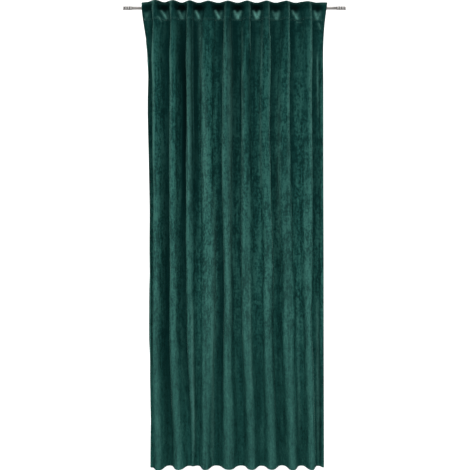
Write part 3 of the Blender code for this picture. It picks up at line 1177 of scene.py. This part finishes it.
    def outline(self, z: Grid) -> Grid:
        """The front of the cloth before its fine relief.

        Args:
            z: Heights of the rows.

        Returns:
            Rows by columns by (x, y, z), the left edge first.
        """
        strips = [self.strip(number, z) for number in range(len(self.valleys))]
        feet = [middle for middle, _ in strips]
        halves = [np.stack([width / 2.0, np.zeros_like(z)], axis=-1) for _, width in strips]
        left, right = self.edge(self.left_edge, z), self.edge(self.right_edge, z)
        edge_sharp = self.sharpness(z, 0.0)
        start = self.flank(feet[0] - halves[0], left, edge_sharp, self.edge_steps)[:, ::-1]
        start = np.concatenate([left[:, None], start], axis=1)
        end = self.flank(feet[-1] + halves[-1], right, edge_sharp, self.edge_steps)
        end = np.concatenate([end, right[:, None]], axis=1)
        spare = self.flat_width - self.length(start) - self.length(end) - sum(width for _, width in strips)
        shares = np.stack([self.placed(fold.cloth, z) for fold in self.folds])
        shares = shares / shares.sum(axis=0)
        lines = [start[:, :-1]]
        for index, foot in enumerate(feet):
            steps = np.arange(self.flat_steps) / self.flat_steps * 2.0 - 1.0
            lines.append(foot[:, None] + halves[index][:, None] * steps[:, None])
            if index < len(self.folds):
                fold = self.folds[index]
                crest_x = self.placed(fold.x, z) + self.wandering(index + 0.5, z)
                crest_x += self.crest_by_lean * self.placed(fold.lean, z) * eased(0.0, self.seam, z)
                lines.append(self.fold_line(foot + halves[index], feet[index + 1] - halves[index + 1],
                                            crest_x, fold, z, spare * shares[index]))
        lines.append(end)
        level = np.concatenate(lines, axis=1)
        heights = np.broadcast_to(z[:, None, None], (*level.shape[:2], 1))
        front = np.concatenate([level, heights], axis=-1)
        on_crest = eased(self.edge_rise, 1.0, self.rise(front)[0])
        for index, fold in enumerate(self.folds):
            first = self.first_column(index) + self.flat_steps
            full = eased(*self.dying_cloth, self.placed(fold.cloth, z))
            on_crest[:, first:first + 2 * self.flank_steps] *= full[:, None]
        at_ends = eased(*self.left_end, front[..., 0]) + eased(*self.right_end, front[..., 0])
        z_of = front[..., 2]
        z_of += self.lifts_at_ends * at_ends * eased(self.top_shapes_from, self.top, z_of)
        z_of -= self.nods_at_top * on_crest * eased(self.top_shapes_from, self.top, z_of)
        z_of -= self.sags_at_hem * on_crest * eased(self.hem + self.hem_shapes_from, self.hem, z_of)
        return front

    def across_cloth(self, base: Grid) -> Grid:
        """Where each point lies across the flat cloth, from the left edge."""
        steps = np.linalg.norm(np.diff(base, axis=1), axis=-1)
        return np.concatenate([np.zeros((len(base), 1)), np.cumsum(steps, axis=1)], axis=1)

    def clear_of_rod(self, base: Grid) -> Grid:
        """0 where the cloth lies back against the rod, and 1 where it is free to wave."""
        z_range, y_range = self.near_rod
        return 1.0 - eased(*z_range, base[..., 2]) * eased(*y_range, base[..., 1])

    def creased(self, x: Grid, z: Grid) -> Grid:
        """How far the listed creases lift the cloth, below 0 in their troughs."""
        return sum(crease.relief(x, z) for crease in self.creases)

    def arms(self, x: Grid, z: Grid) -> Grid:
        """Ridges that pull from each side of a tab's hollow down to one point on the seam.

        Args:
            x: Where the points lie across the curtain.
            z: Their heights.

        Returns:
            The lift at each point.
        """
        total = np.zeros_like(x)
        at_rod, at_point = self.arm_spread
        top, foot = self.arm_ends
        for valley in self.valleys:
            for side, strength in ((-1.0, valley.left_arm), (1.0, valley.right_arm)):
                arm = Crease((valley.x.heading + side * at_rod, top),
                             (valley.point + side * at_point, self.seam + foot),
                             self.arm_height * strength, self.arm_width)
                total += arm.relief(x, z)
        return total

    def seam_relief(self, s: Grid, z: Grid) -> Grid:
        """The heading's lip, the stitched groove under it and its puckers.

        Args:
            s: Where the points lie across the flat cloth.
            z: Their heights.

        Returns:
            The lift at each point.
        """
        step = -self.step_down * self.seam_step(self.seam_soft, z) * eased(self.step_ends, self.seam, z)
        gathers = self.gathers.relief(s, z) * np.exp(-np.abs(z - self.seam) / self.gathers_reach)
        return self.lip.relief(z, self.seam) + self.groove.relief(z, self.seam) + step + gathers

    def relief(self, base: Grid) -> Grid:
        """The cloth's fine shapes.

        Args:
            base: The plain front.

        Returns:
            How far each point is lifted out of the front.
        """
        x, z, s = base[..., 0], base[..., 2], self.across_cloth(base)
        lift = self.creased(x, z) + self.arms(x, z) + self.seam_relief(s, z)
        free = self.clear_of_rod(base)
        low = eased(self.seam, self.calm_ends, z)
        lift += free * self.drape.relief(s, z)
        lift += free * (self.calm + (1.0 - self.calm) * low) * self.crinkles.relief(s, z)
        lift += free * self.pucker_height * (1.0 - low) * self.puckers.relief(s, z)
        return lift

    def rise(self, base: Grid) -> tuple[Grid, Grid]:
        """How high each point stands on its fold, and on which flanks the fold turns away.

        Args:
            base: The plain front.

        Returns:
            0 in the valleys and 1 on the crests, and how strongly the flank at each point turns away.
        """
        y, z = base[..., 1], self.row_heights()
        height = np.full(y.shape, self.edge_rise)
        outer = np.zeros(y.shape)
        for number in range(len(self.valleys)):
            first = self.first_column(number)
            foot = first + self.flat_steps
            height[:, first:foot] = 0.0
            if number == len(self.folds):
                break
            fold = self.folds[number]
            crest, far = foot + self.flank_steps, foot + 2 * self.flank_steps
            lean = self.placed(fold.lean, z)
            for near, start, end, away in ((foot, foot, crest, -lean), (far, crest, far, lean)):
                tall = y[:, near:near + 1] - y[:, crest:crest + 1]
                height[:, start:end] = (y[:, near:near + 1] - y[:, start:end]) / tall
                crisp = fold.far_rim * eased(*self.far_rim_leans, away)
                crisp *= eased(self.far_rims_from, self.upper, z)
                outer[:, start:end] = np.clip(self.rim_by_lean * away, 0.0, 1.0)[:, None]
                outer[:, start:end] += crisp[:, None] * bump_at(height[:, start:end], *self.far_rim_at)
        return height, outer

    def furrows(self, base: Grid) -> Grid:
        """The painted shade in the furrows below the heading.

        Args:
            base: The plain front.

        Returns:
            Painted shade that is darkest at the foot of the rim beside each furrow and fades across it.
        """
        z, tones = self.row_heights(), self.tones
        height, outer = self.rise(base)
        hidden = 1.0 - eased(*tones.hidden_shares, height)
        total = np.zeros(base.shape[:2])
        for number, valley in enumerate(self.valleys):
            side = math.copysign(1.0, valley.reach)
            middle, width = self.strip(number, z)
            foot = middle[:, :1] + side * width[:, None] / 2.0
            first = self.first_column(number)
            span = slice(max(0, first - self.flank_steps), first + self.flat_steps + self.flank_steps)
            inward = np.maximum((foot - base[:, span, 0]) * side - tones.furrow_core * width[:, None], 0.0)
            narrowed = mixed(1.0, tones.furrow_narrowed, eased(*tones.narrowed_heights, z))[:, None]
            reach = tones.furrow_reach * valley.reach * narrowed
            near, far = tones.near_and_far
            dark = near * np.exp(-((inward / reach) ** 2)) + far * np.exp(-inward / tones.far_reach)
            dark = mixed(dark, hidden[:, span], eased(*tones.turned_away, outer[:, span]))
            total[:, span] = dark * self.placed(valley.shade, z)[:, None]
        return total

    def painted_shade(self, base: Grid) -> Grid:
        """Painted shade: in the furrows, in the hollows at the rod, over the heading, under the seam and in
        crease troughs.

        Args:
            base: The plain front.

        Returns:
            0 to 1 at each point, and above 1 where a hollow gets a near-black painted shadow.
        """
        x, z, tones = base[..., 0], base[..., 2], self.tones
        below = self.seam_step(tones.seam_blur, z)
        hollows = np.zeros_like(x)
        for valley in self.valleys:
            across = (x - valley.x.heading) / tones.hollow_across
            down = z / np.where(z > 0.0, tones.hollow_up, tones.hollow_down)
            hollows += valley.shade.heading * np.exp(-((across ** 2 + down ** 2) ** tones.hollow_edge))
        all_over = mixed(tones.heading, tones.under_heading, below)
        all_over *= eased(tones.fades_at, self.seam + tones.seam_blur[1], z)
        paler = tones.paler_under_rod * eased(*tones.under_rod_heights, z)
        paler += tones.paler_over_rod * eased(*tones.over_rod_heights, z)
        under_seam = np.exp(np.minimum(z - self.seam, 0.0) / tones.seam_shade_reach)
        all_over -= paler * (1.0 - below)
        all_over += tones.seam_shade * under_seam * below
        troughs = tones.trough * np.clip(-self.creased(x, z) / tones.full_crease, 0.0, 1.0)
        furrows = self.furrows(base) * below * (1.0 - all_over)
        return np.clip(furrows + all_over + tones.hollow * hollows + troughs, 0.0, tones.darkest)

    def painted_highlight(self, base: Grid) -> Grid:
        """Painted highlights: on outer rims, crests low down, crease ridges, the seam's arms and facets,
        the top edge and the lip at the seam.

        Args:
            base: The plain front.

        Returns:
            0 to 1.2 at each point.
        """
        x, z, tones = base[..., 0], base[..., 2], self.tones
        height, outer = self.rise(base)
        low = eased(self.upper, self.lower, z)
        rim = outer * eased(*tones.rim_shares, height) * (1.0 - eased(*tones.rim_end_shares, height))
        rim *= mixed(*tones.rim, low) * mixed(tones.rim_near_seam, 1.0, eased(*tones.rim_heights, z))
        crest = tones.crest * eased(*tones.crest_shares, height) * low
        arms = np.clip(self.arms(x, z) / self.arm_height, 0.0, tones.palest)
        ridges = tones.ridge * np.clip(self.creased(x, z) / tones.full_crease, 0.0, 1.0)
        facets = np.zeros_like(x)
        for valley in self.valleys:
            middle = mixed(valley.x.heading, valley.point, self.below_rod(z))
            facets += valley.facet * bump_at(x, middle, mixed(*tones.facet_widths, self.below_rod(z)))
        facets *= eased(*tones.facet_heights, z) * self.seam_step(tones.facet_foot, z)
        edge = tones.top_edge * eased(*(self.top - depth for depth in tones.top_edge_depths), z)
        edge += tones.lip.relief(z, self.seam)
        lit = rim + crest + ridges + tones.arm * arms + tones.facet * facets + edge
        return np.clip(lit, 0.0, tones.palest)

    def thickness_at(self, base: Grid) -> Grid:
        """How thick the cloth is: doubled in the heading and the hems, with a step on the back.

        Args:
            base: The plain front.

        Returns:
            The thickness at each point.
        """
        z, s, step = base[..., 2], self.across_cloth(base), self.doubled_step
        heading_end, hem_end = self.seam - self.stitch_in, self.hem + self.bottom_hem
        in_heading = eased(heading_end - step, heading_end + step, z)
        in_hem = eased(hem_end + step, hem_end - step, z)
        from_side = np.minimum(s, s[:, -1:] - s)
        in_side = eased(self.side_hem + 2.0 * step, self.side_hem - 2.0 * step, from_side)
        folded = np.maximum.reduce([in_heading, in_hem, in_side])
        thick = mixed(self.thickness, self.doubled, folded)
        return thick - self.stitch_pull.relief(z, self.hem_line) * (folded > 0.5)

    def build(self) -> tuple[bpy.types.Object, Grid, Grid]:
        """Makes the panel.

        Returns:
            The panel, its front points and its back points.
        """
        base = self.outline(self.row_heights())
        out = facing(base)
        lift = self.relief(base)[..., None]
        front = base + out * lift
        back = front - out * self.thickness_at(base)[..., None]
        points, faces = shell(front, back)
        panel = new_object("velvet_panel", points, faces, self.finish.material())
        # Painted shade, painted highlights and unevenness for the velvet's finish; the back gets flat
        # values
        for name, tone, behind in (("painted_shade", self.painted_shade(base), self.tones.back),
                                   ("painted_highlight", self.painted_highlight(base), self.tones.back),
                                   ("uneven", self.tones.uneven(base[..., 2]), self.tones.back_mottled)):
            values = np.full(len(points), behind)
            values[:tone.size] = tone.ravel()
            paint(panel, name, values)
        return panel, front, back


def resampled(line: Grid, values: Grid, step: float) -> tuple[Grid, Grid]:
    """Points at even steps along a line, and the values there.

    Args:
        line: Points, one in each row.
        values: A vector at each point.
        step: Distance between the new points.

    Returns:
        The new points and the vectors at them.
    """
    lengths = np.concatenate([[0.0], np.cumsum(np.linalg.norm(np.diff(line, axis=0), axis=1))])
    count = max(2, int(lengths[-1] / step))
    where = (np.arange(count) + 0.5) * lengths[-1] / count
    new = [np.stack([np.interp(where, lengths, grid[:, axis]) for axis in range(3)], axis=1)
           for grid in (line, values)]
    return new[0], new[1]


@dataclass
class Stitching:
    """Machine stitches, each a short thread bead half sunk in the cloth.

    A bead has four rings, each given by its place along the stitch, its size and how far out it lies.
    """

    length: float = 0.0031
    pitch: float = 0.0044
    radius: float = 0.00034
    sides: int = 5
    bead_rings: tuple[Triple, ...] = (
        (-0.5, 0.15, -1.0), (-0.3, 0.9, 0.0), (0.3, 0.9, 0.0), (0.5, 0.15, -1.0),
    )
    finish: SewingThread = field(default_factory=SewingThread)
    points: list[Grid] = field(default_factory=list)
    faces: list[tuple[int, ...]] = field(default_factory=list)

    def bead(self, middle: Grid, along: Grid, out: Grid) -> None:
        """Adds one stitch.

        Args:
            middle: Its middle.
            along: The way it runs.
            out: The way out of the cloth.
        """
        side = np.cross(along, out)
        start = len(self.points) * self.sides
        turns = np.arange(self.sides) * math.tau / self.sides
        ring = np.outer(np.cos(turns), out) + np.outer(np.sin(turns), side)
        for share, size, raised in self.bead_rings:
            centre = middle + along * share * self.length + out * raised * self.radius
            self.points.append(centre + ring * self.radius * size)
        self.faces += round_faces(len(self.bead_rings), self.sides, start)
        last = start + (len(self.bead_rings) - 1) * self.sides
        self.faces.append(tuple(start + i for i in range(self.sides - 1, -1, -1)))
        self.faces.append(tuple(last + i for i in range(self.sides)))

    def row(self, line: Grid, out: Grid, pitch: float | None = None) -> None:
        """Adds a row of stitches along a line.

        Args:
            line: Points of the line.
            out: The way out of the cloth at each point.
            pitch: Distance from one stitch to the next.
        """
        spots, ways = resampled(line, out, pitch or self.pitch)
        runs = unit(np.gradient(spots, axis=0))
        for spot, run, way in zip(spots, runs, ways):
            self.bead(spot, run, unit(way - run * (way @ run)))

    def build(self, name: str) -> bpy.types.Object:
        """Joins the rows made so far into one piece.

        Args:
            name: The piece's name.

        Returns:
            The piece.
        """
        return new_object(name, np.concatenate(self.points), self.faces, self.finish.material())


@dataclass
class Tabs:
    """Short tape straps sewn to the back of the heading, which the rod runs through."""

    width: float = 0.020
    thickness: float = 0.0014
    rod_radius: float = 0.008
    gap: float = 0.0004
    sewn_top: Pair = (0.025, 0.014)
    sewn_foot: Pair = (-0.055, -0.069)
    top_steps: int = 5
    arc_steps: int = 20
    drop_steps: int = 12
    foot_steps: int = 6
    smoothings: int = 2
    columns: int = 7
    most_skew: float = 0.0016
    sewn_rows: tuple[int, ...] = (1, 3, -2, -5)
    pitch: float = 0.0034
    finish: WovenTape = field(default_factory=WovenTape)

    def line(self, panel: Panel) -> Grid:
        """The strap's middle line: down the heading's back, over the rod and down to its foot.

        Args:
            panel: The cloth it is sewn to.

        Returns:
            Points as (y, z).
        """
        behind = panel.doubled + self.gap + self.thickness / 2.0
        wrap = self.rod_radius + self.gap + self.thickness / 2.0
        top, foot = (
            [(float(panel.valley_y(panel.valleys[0].depth, np.array(z))) + behind, z) for z in heights]
            for heights in (self.sewn_top, self.sewn_foot)
        )
        angles = [self.touch(*top[-1], wrap, 1.0), self.touch(*foot[0], wrap, -1.0) + math.tau]
        arc = np.linspace(*angles, self.arc_steps)
        over = np.stack([wrap * np.sin(arc), wrap * np.cos(arc)], axis=1)
        drop = np.linspace(over[-1], foot[0], self.drop_steps)[1:-1]
        return np.concatenate([np.linspace(*top, self.top_steps), over, drop,
                               np.linspace(*foot, self.foot_steps)])

    @staticmethod
    def touch(y: float, z: float, radius: float, side: float) -> float:
        """Angle from +Z towards +Y at which a line from (y, z) touches a circle round the rod."""
        return math.atan2(y, z) + side * math.acos(radius / math.hypot(y, z))

    def build(self, panel: Panel, stitching: Stitching) -> list[bpy.types.Object]:
        """Makes every strap.

        Args:
            panel: The cloth that they are sewn to.
            stitching: Takes the straps' stitches.

        Returns:
            The straps, the left one first.
        """
        middle = self.line(panel)
        for _ in range(self.smoothings):
            middle[1:-1] = (middle[:-2] + 2.0 * middle[1:-1] + middle[2:]) / 4.0
        run = unit(np.gradient(middle, axis=0))
        out = np.stack([-run[:, 1], run[:, 0]], axis=1)
        material = self.finish.material()
        made = []
        for number, valley in enumerate(panel.valleys, start=1):
            skew = np.random.default_rng(number).uniform(-self.most_skew, self.most_skew)
            sides = np.linspace(-0.5, 0.5, self.columns) * self.width + valley.x.heading
            x = sides[None, :] + np.linspace(0.0, 1.0, len(middle))[:, None] * skew
            flat, away = (np.stack(np.broadcast_arrays(across, line[:, :1], line[:, 1:]), axis=-1)
                          for across, line in ((x, middle), (np.zeros_like(x), out)))
            inner, outer = flat - away * self.thickness / 2.0, flat + away * self.thickness / 2.0
            points, faces = shell(inner, outer)
            strap = new_object(f"tab_strap_{number:02d}", points, faces, material)
            self.sew(outer, away, stitching)
            made.append(strap)
        return made

    def sew(self, outer: Grid, away: Grid, stitching: Stitching) -> None:
        """Adds the rows that hold one strap.

        Args:
            outer: The strap's outer face.
            away: The way out of it.
            stitching: Takes the stitches.
        """
        for row in self.sewn_rows:
            stitching.row(outer[row, 1:-1], away[row, 1:-1], self.pitch)


def turned(name: str, profile: Grid, along: float, start: float, sides: int,
           material: bpy.types.Material) -> bpy.types.Object:
    """Turns a profile round the rod's axis.

    Args:
        name: The piece's name.
        profile: Points as (distance along, radius), which begin and end where the piece does.
        along: 1 if the profile runs towards +X, and -1 if towards -X.
        start: Where along X the profile's zero lies.
        sides: Points round the axis.
        material: The piece's material.

    Returns:
        The piece.
    """
    turns = np.arange(sides) * math.tau / sides
    x = start + along * profile[:, :1] + 0.0 * turns
    y, z = profile[:, 1:] * np.sin(turns), profile[:, 1:] * np.cos(turns)
    points = np.stack([x, y, z], axis=-1).reshape(-1, 3)
    faces = [face if along > 0 else face[::-1] for face in round_faces(len(profile), sides)]
    return new_object(name, points, faces, material)


@dataclass
class Rod:
    """The tube that carries the curtain and its two ribbed ends."""

    radius: float = 0.008
    wall: float = 0.001
    length: float = 1.084
    sides: int = 64
    rib_radius: float = 0.0115
    groove_radius: float = 0.0084
    ribs: int = 4
    rib: float = 0.0086
    groove: float = 0.0042
    rib_round: float = 0.0014
    round_steps: int = 5
    cove: float = 0.0008
    groove_shade_edges: Triple = (-0.002, -0.0005, 0.0006)
    edge: float = 0.0002
    tube_steps: int = 40
    face_steps: int = 6
    spigot: float = 0.016
    spigot_chamfer: float = 0.0006
    gap: float = 0.0003
    tube_finish: SatinMetal = SatinMetal("satin_tube", 22.0, 900.0)
    end_finish: SatinMetal = SatinMetal("satin_ends", 2600.0, 60.0, colour=(0.300, 0.292, 0.284),
                                        smudge=(0.210, 0.203, 0.196))

    def tube(self) -> bpy.types.Object:
        """The tube, open at both ends, with eased rims.

        Returns:
            The piece.
        """
        half, inner = self.length / 2.0, self.radius - self.wall
        outer = np.linspace(-half + self.edge, half - self.edge, self.tube_steps)
        profile = [(-half, inner), (-half, self.radius - self.edge)]
        profile += [(x, self.radius) for x in outer]
        profile += [(half, self.radius - self.edge), (half, inner), (-half, inner)]
        return turned("rod_tube", np.array(profile), 1.0, 0.0, self.sides, self.tube_finish.material())

    def end_profile(self) -> Grid:
        """Outline of one end from the tip of its spigot to the middle of its outer face.

        Returns:
            Points as (distance outwards, radius).
        """
        plug, chamfer, soft = self.radius - self.wall - self.gap, self.spigot_chamfer, self.rib_round
        points = [(-self.spigot, 0.0), (-self.spigot, plug - chamfer), (-self.spigot + chamfer, plug)]
        points += [(0.0, plug)]
        turns = np.linspace(0.0, math.pi / 2.0, self.round_steps)
        start, top = 0.0, self.rib_radius
        for rib in range(self.ribs):
            end = start + self.rib
            points += [(start + soft * (1.0 - math.cos(turn)), top - soft * (1.0 - math.sin(turn)))
                       for turn in turns]
            points += [(start + self.rib / 2.0, top)]
            points += [(end - soft * (1.0 - math.sin(turn)), top - soft * (1.0 - math.cos(turn)))
                       for turn in turns]
            start = end
            if rib < self.ribs - 1:
                points += self.groove_points(start)
                start += self.groove
        rim = top - soft - chamfer
        points += [(start + self.edge, radius) for radius in np.linspace(rim, 0.0, self.face_steps)]
        return np.array(points)

    def groove_points(self, start: float) -> list[Pair]:
        """The floor of one groove, with coved corners.

        Args:
            start: Where the groove starts along the axis.

        Returns:
            Points as (distance outwards, radius).
        """
        low, end = self.groove_radius, start + self.groove
        corner = ((0.0001, self.cove), (0.0003, self.edge), (self.cove, 0.0))
        return [*((start + inwards, low + rise) for inwards, rise in corner),
                *((end - inwards, low + rise) for inwards, rise in corner[::-1])]

    def build(self) -> None:
        """Makes the tube and both ends, in place of the plain ones."""
        attach(self.tube(), ["rod"])
        material = self.end_finish.material()
        for side, name in ((-1.0, "left"), (1.0, "right")):
            start = side * (self.length / 2.0 + self.gap)
            end = turned(f"ribbed_end_{name}", self.end_profile(), side, start, self.sides, material)
            self.paint_groove_shade(end)
            attach(end, [f"finial_{name}"])

    def paint_groove_shade(self, end: bpy.types.Object) -> None:
        """Marks an end's grooves with painted shade, for its finish.

        Args:
            end: The end, on the rod's axis.
        """
        places = np.zeros(3 * len(end.data.vertices))
        end.data.vertices.foreach_get("co", places)
        places = places.reshape(-1, 3)
        away = np.hypot(places[:, 1], places[:, 2])
        half, floor = self.length / 2.0, self.groove_radius
        in_groove = eased(self.rib_radius - self.cove, floor + self.groove_shade_edges[2], away)
        in_groove *= eased(half - self.wall, half + self.wall, np.abs(places[:, 0]))
        in_groove *= eased(floor + self.groove_shade_edges[0], floor + self.groove_shade_edges[1], away)
        paint(end, "painted_groove_shade", in_groove)


@dataclass
class Curtain:
    """The cloth, its straps and its stitches, put together."""

    panel: Panel = field(default_factory=Panel)
    tabs: Tabs = field(default_factory=Tabs)
    hem_pitch: float = 0.0060
    side_stitch_in: float = 0.003

    def row_at(self, height: float) -> int:
        """The panel's row that lies nearest to a height."""
        return int(np.argmin(np.abs(self.panel.row_heights() - height)))

    def sew_heading(self, front: Grid, back: Grid, stitching: Stitching) -> None:
        """Stitches along the line under the heading, seen on both sides.

        Args:
            front: The panel's front points.
            back: Its back points.
            stitching: Takes the stitches.
        """
        row = self.row_at(self.panel.seam)
        out = unit(front - back)
        stitching.row(front[row, 1:-1], out[row, 1:-1])
        stitching.row(back[row, 1:-1], -out[row, 1:-1])

    def sew_hems(self, front: Grid, back: Grid, stitching: Stitching) -> None:
        """Stitches along the bottom and side hems, which show on the back alone.

        Args:
            front: The panel's front points.
            back: Its back points.
            stitching: Takes the stitches.
        """
        row = self.row_at(self.panel.hem_line)
        inward = unit(back - front)
        stitching.row(back[row, 1:-1], inward[row, 1:-1], self.hem_pitch)
        flat = self.panel.across_cloth(front)
        rows, lines = slice(self.row_at(self.panel.seam) + 1, row), np.arange(len(front))
        for place in (flat, flat[:, -1:] - flat):
            column = np.argmin(np.abs(place - self.panel.side_hem + self.side_stitch_in), axis=1)
            stitching.row(back[lines, column][rows], inward[lines, column][rows], self.hem_pitch)

    def build(self) -> None:
        """Makes the panel, the straps and the stitches, and rides each on the part's body, the panel and
        straps in place of their CAD nodes.
        """
        panel, front, back = self.panel.build()
        attach(panel, ["curtain_cloth"])
        stitching = Stitching()
        straps = self.tabs.build(self.panel, stitching)
        self.sew_heading(front, back, stitching)
        self.sew_hems(front, back, stitching)
        stitches = stitching.build("thread_stitches")
        attach(stitches)
        for number, strap in enumerate(straps, start=1):
            attach(strap, [f"tab_{number:02d}"])


@dataclass(frozen=True)
class SoftBox:
    """A soft light: its name, its place, its width and height, and its power in watts."""

    name: str
    place: Triple
    size: Pair
    power: float


@dataclass
class Studio:
    """A pale cove that curves up all round, soft lights, and the camera."""

    floor: float = -2.62
    radius: float = 8.5
    bend: float = 2.5
    height: float = 6.0
    sides: int = 96
    floor_rings: Triple = (0.0, 1.5, 3.5)
    bend_steps: int = 12
    middle: Triple = (0.0, 0.0, -1.2)
    boxes: tuple[SoftBox, ...] = (
        SoftBox("high_box", (0.3, -3.6, 7.0), (3.0, 3.0), 840.0),
        SoftBox("left_box", (-4.0, -4.7, 0.3), (1.6, 4.0), 178.0),
        SoftBox("right_box", (4.0, -4.7, 0.3), (1.6, 4.0), 142.0),
    )
    sky_strength: float = 0.55
    camera_distance: float = 4.0
    camera_height: float = -1.200
    camera_side: float = 0.003
    view_width: float = 2.486
    view_depth: float = 60.0
    sensor: float = 36.0

    def cove(self) -> bpy.types.Object:
        """The floor and the wall, one smooth bowl.

        Returns:
            The cove.
        """
        turns = np.linspace(0.0, math.pi / 2.0, self.bend_steps)
        flat = [(ring, self.floor) for ring in (*self.floor_rings, self.radius - self.bend)]
        curve = [(self.radius - self.bend + self.bend * math.sin(turn),
                  self.floor + self.bend * (1.0 - math.cos(turn))) for turn in turns[1:]]
        profile = np.array([*flat, *curve, (self.radius, self.floor + self.height)])
        around = np.arange(self.sides) * math.tau / self.sides
        x, y = profile[:, :1] * np.sin(around), profile[:, :1] * np.cos(around)
        z = profile[:, 1:] + 0.0 * around
        points = np.stack([x, y, z], axis=-1).reshape(-1, 3)
        faces = [face[::-1] for face in round_faces(len(profile), self.sides)]
        return new_object("studio_cove", points, faces, PaintedCove().material())

    def light(self, box: SoftBox) -> None:
        """Adds a soft box that faces the middle of the curtain.

        Args:
            box: The soft box.
        """
        data = bpy.data.lights.new(box.name, "AREA")
        data.shape = "RECTANGLE"
        data.size, data.size_y = box.size
        data.energy = box.power
        lamp = bpy.data.objects.new(box.name, data)
        bpy.context.scene.collection.objects.link(lamp)
        lamp.location = box.place
        way = np.array(self.middle) - np.array(box.place)
        lamp.rotation_euler = (math.acos(-way[2] / np.linalg.norm(way)), 0.0,
                               math.atan2(way[1], way[0]) - math.pi / 2.0)
        lamp.visible_camera = False

    def camera(self) -> None:
        """The camera, level with the middle of the curtain and square to it."""
        data = bpy.data.cameras.new("camera")
        data.sensor_width = self.sensor
        data.lens = self.sensor * self.camera_distance / self.view_width
        data.clip_end = self.view_depth
        camera = bpy.data.objects.new("camera", data)
        bpy.context.scene.collection.objects.link(camera)
        camera.location = (self.camera_side, -self.camera_distance, self.camera_height)
        camera.rotation_euler = (math.pi / 2.0, 0.0, 0.0)
        bpy.context.scene.camera = camera

    def sky(self) -> None:
        """Even white light from above the cove."""
        world = bpy.data.worlds.new("studio_sky")
        world.use_nodes = True
        background = world.node_tree.nodes["Background"]
        background.inputs["Color"].default_value = (1.0, 1.0, 1.0, 1.0)
        background.inputs["Strength"].default_value = self.sky_strength
        bpy.context.scene.world = world

    def build(self) -> None:
        """Makes the cove, the lights, the sky and the camera."""
        self.cove()
        for box in self.boxes:
            self.light(box)
        self.sky()
        self.camera()
        bpy.context.scene.view_settings.view_transform = "Standard"


def main() -> None:
    """Builds the curtain, the rod and the studio."""
    logging.basicConfig(level=logging.INFO, format="%(name)s: %(message)s")
    builders: tuple[Callable[[], None], ...] = (Curtain().build, Rod().build, Studio().build)
    for build in builders:
        build()


if __name__ == "__main__":
    main()
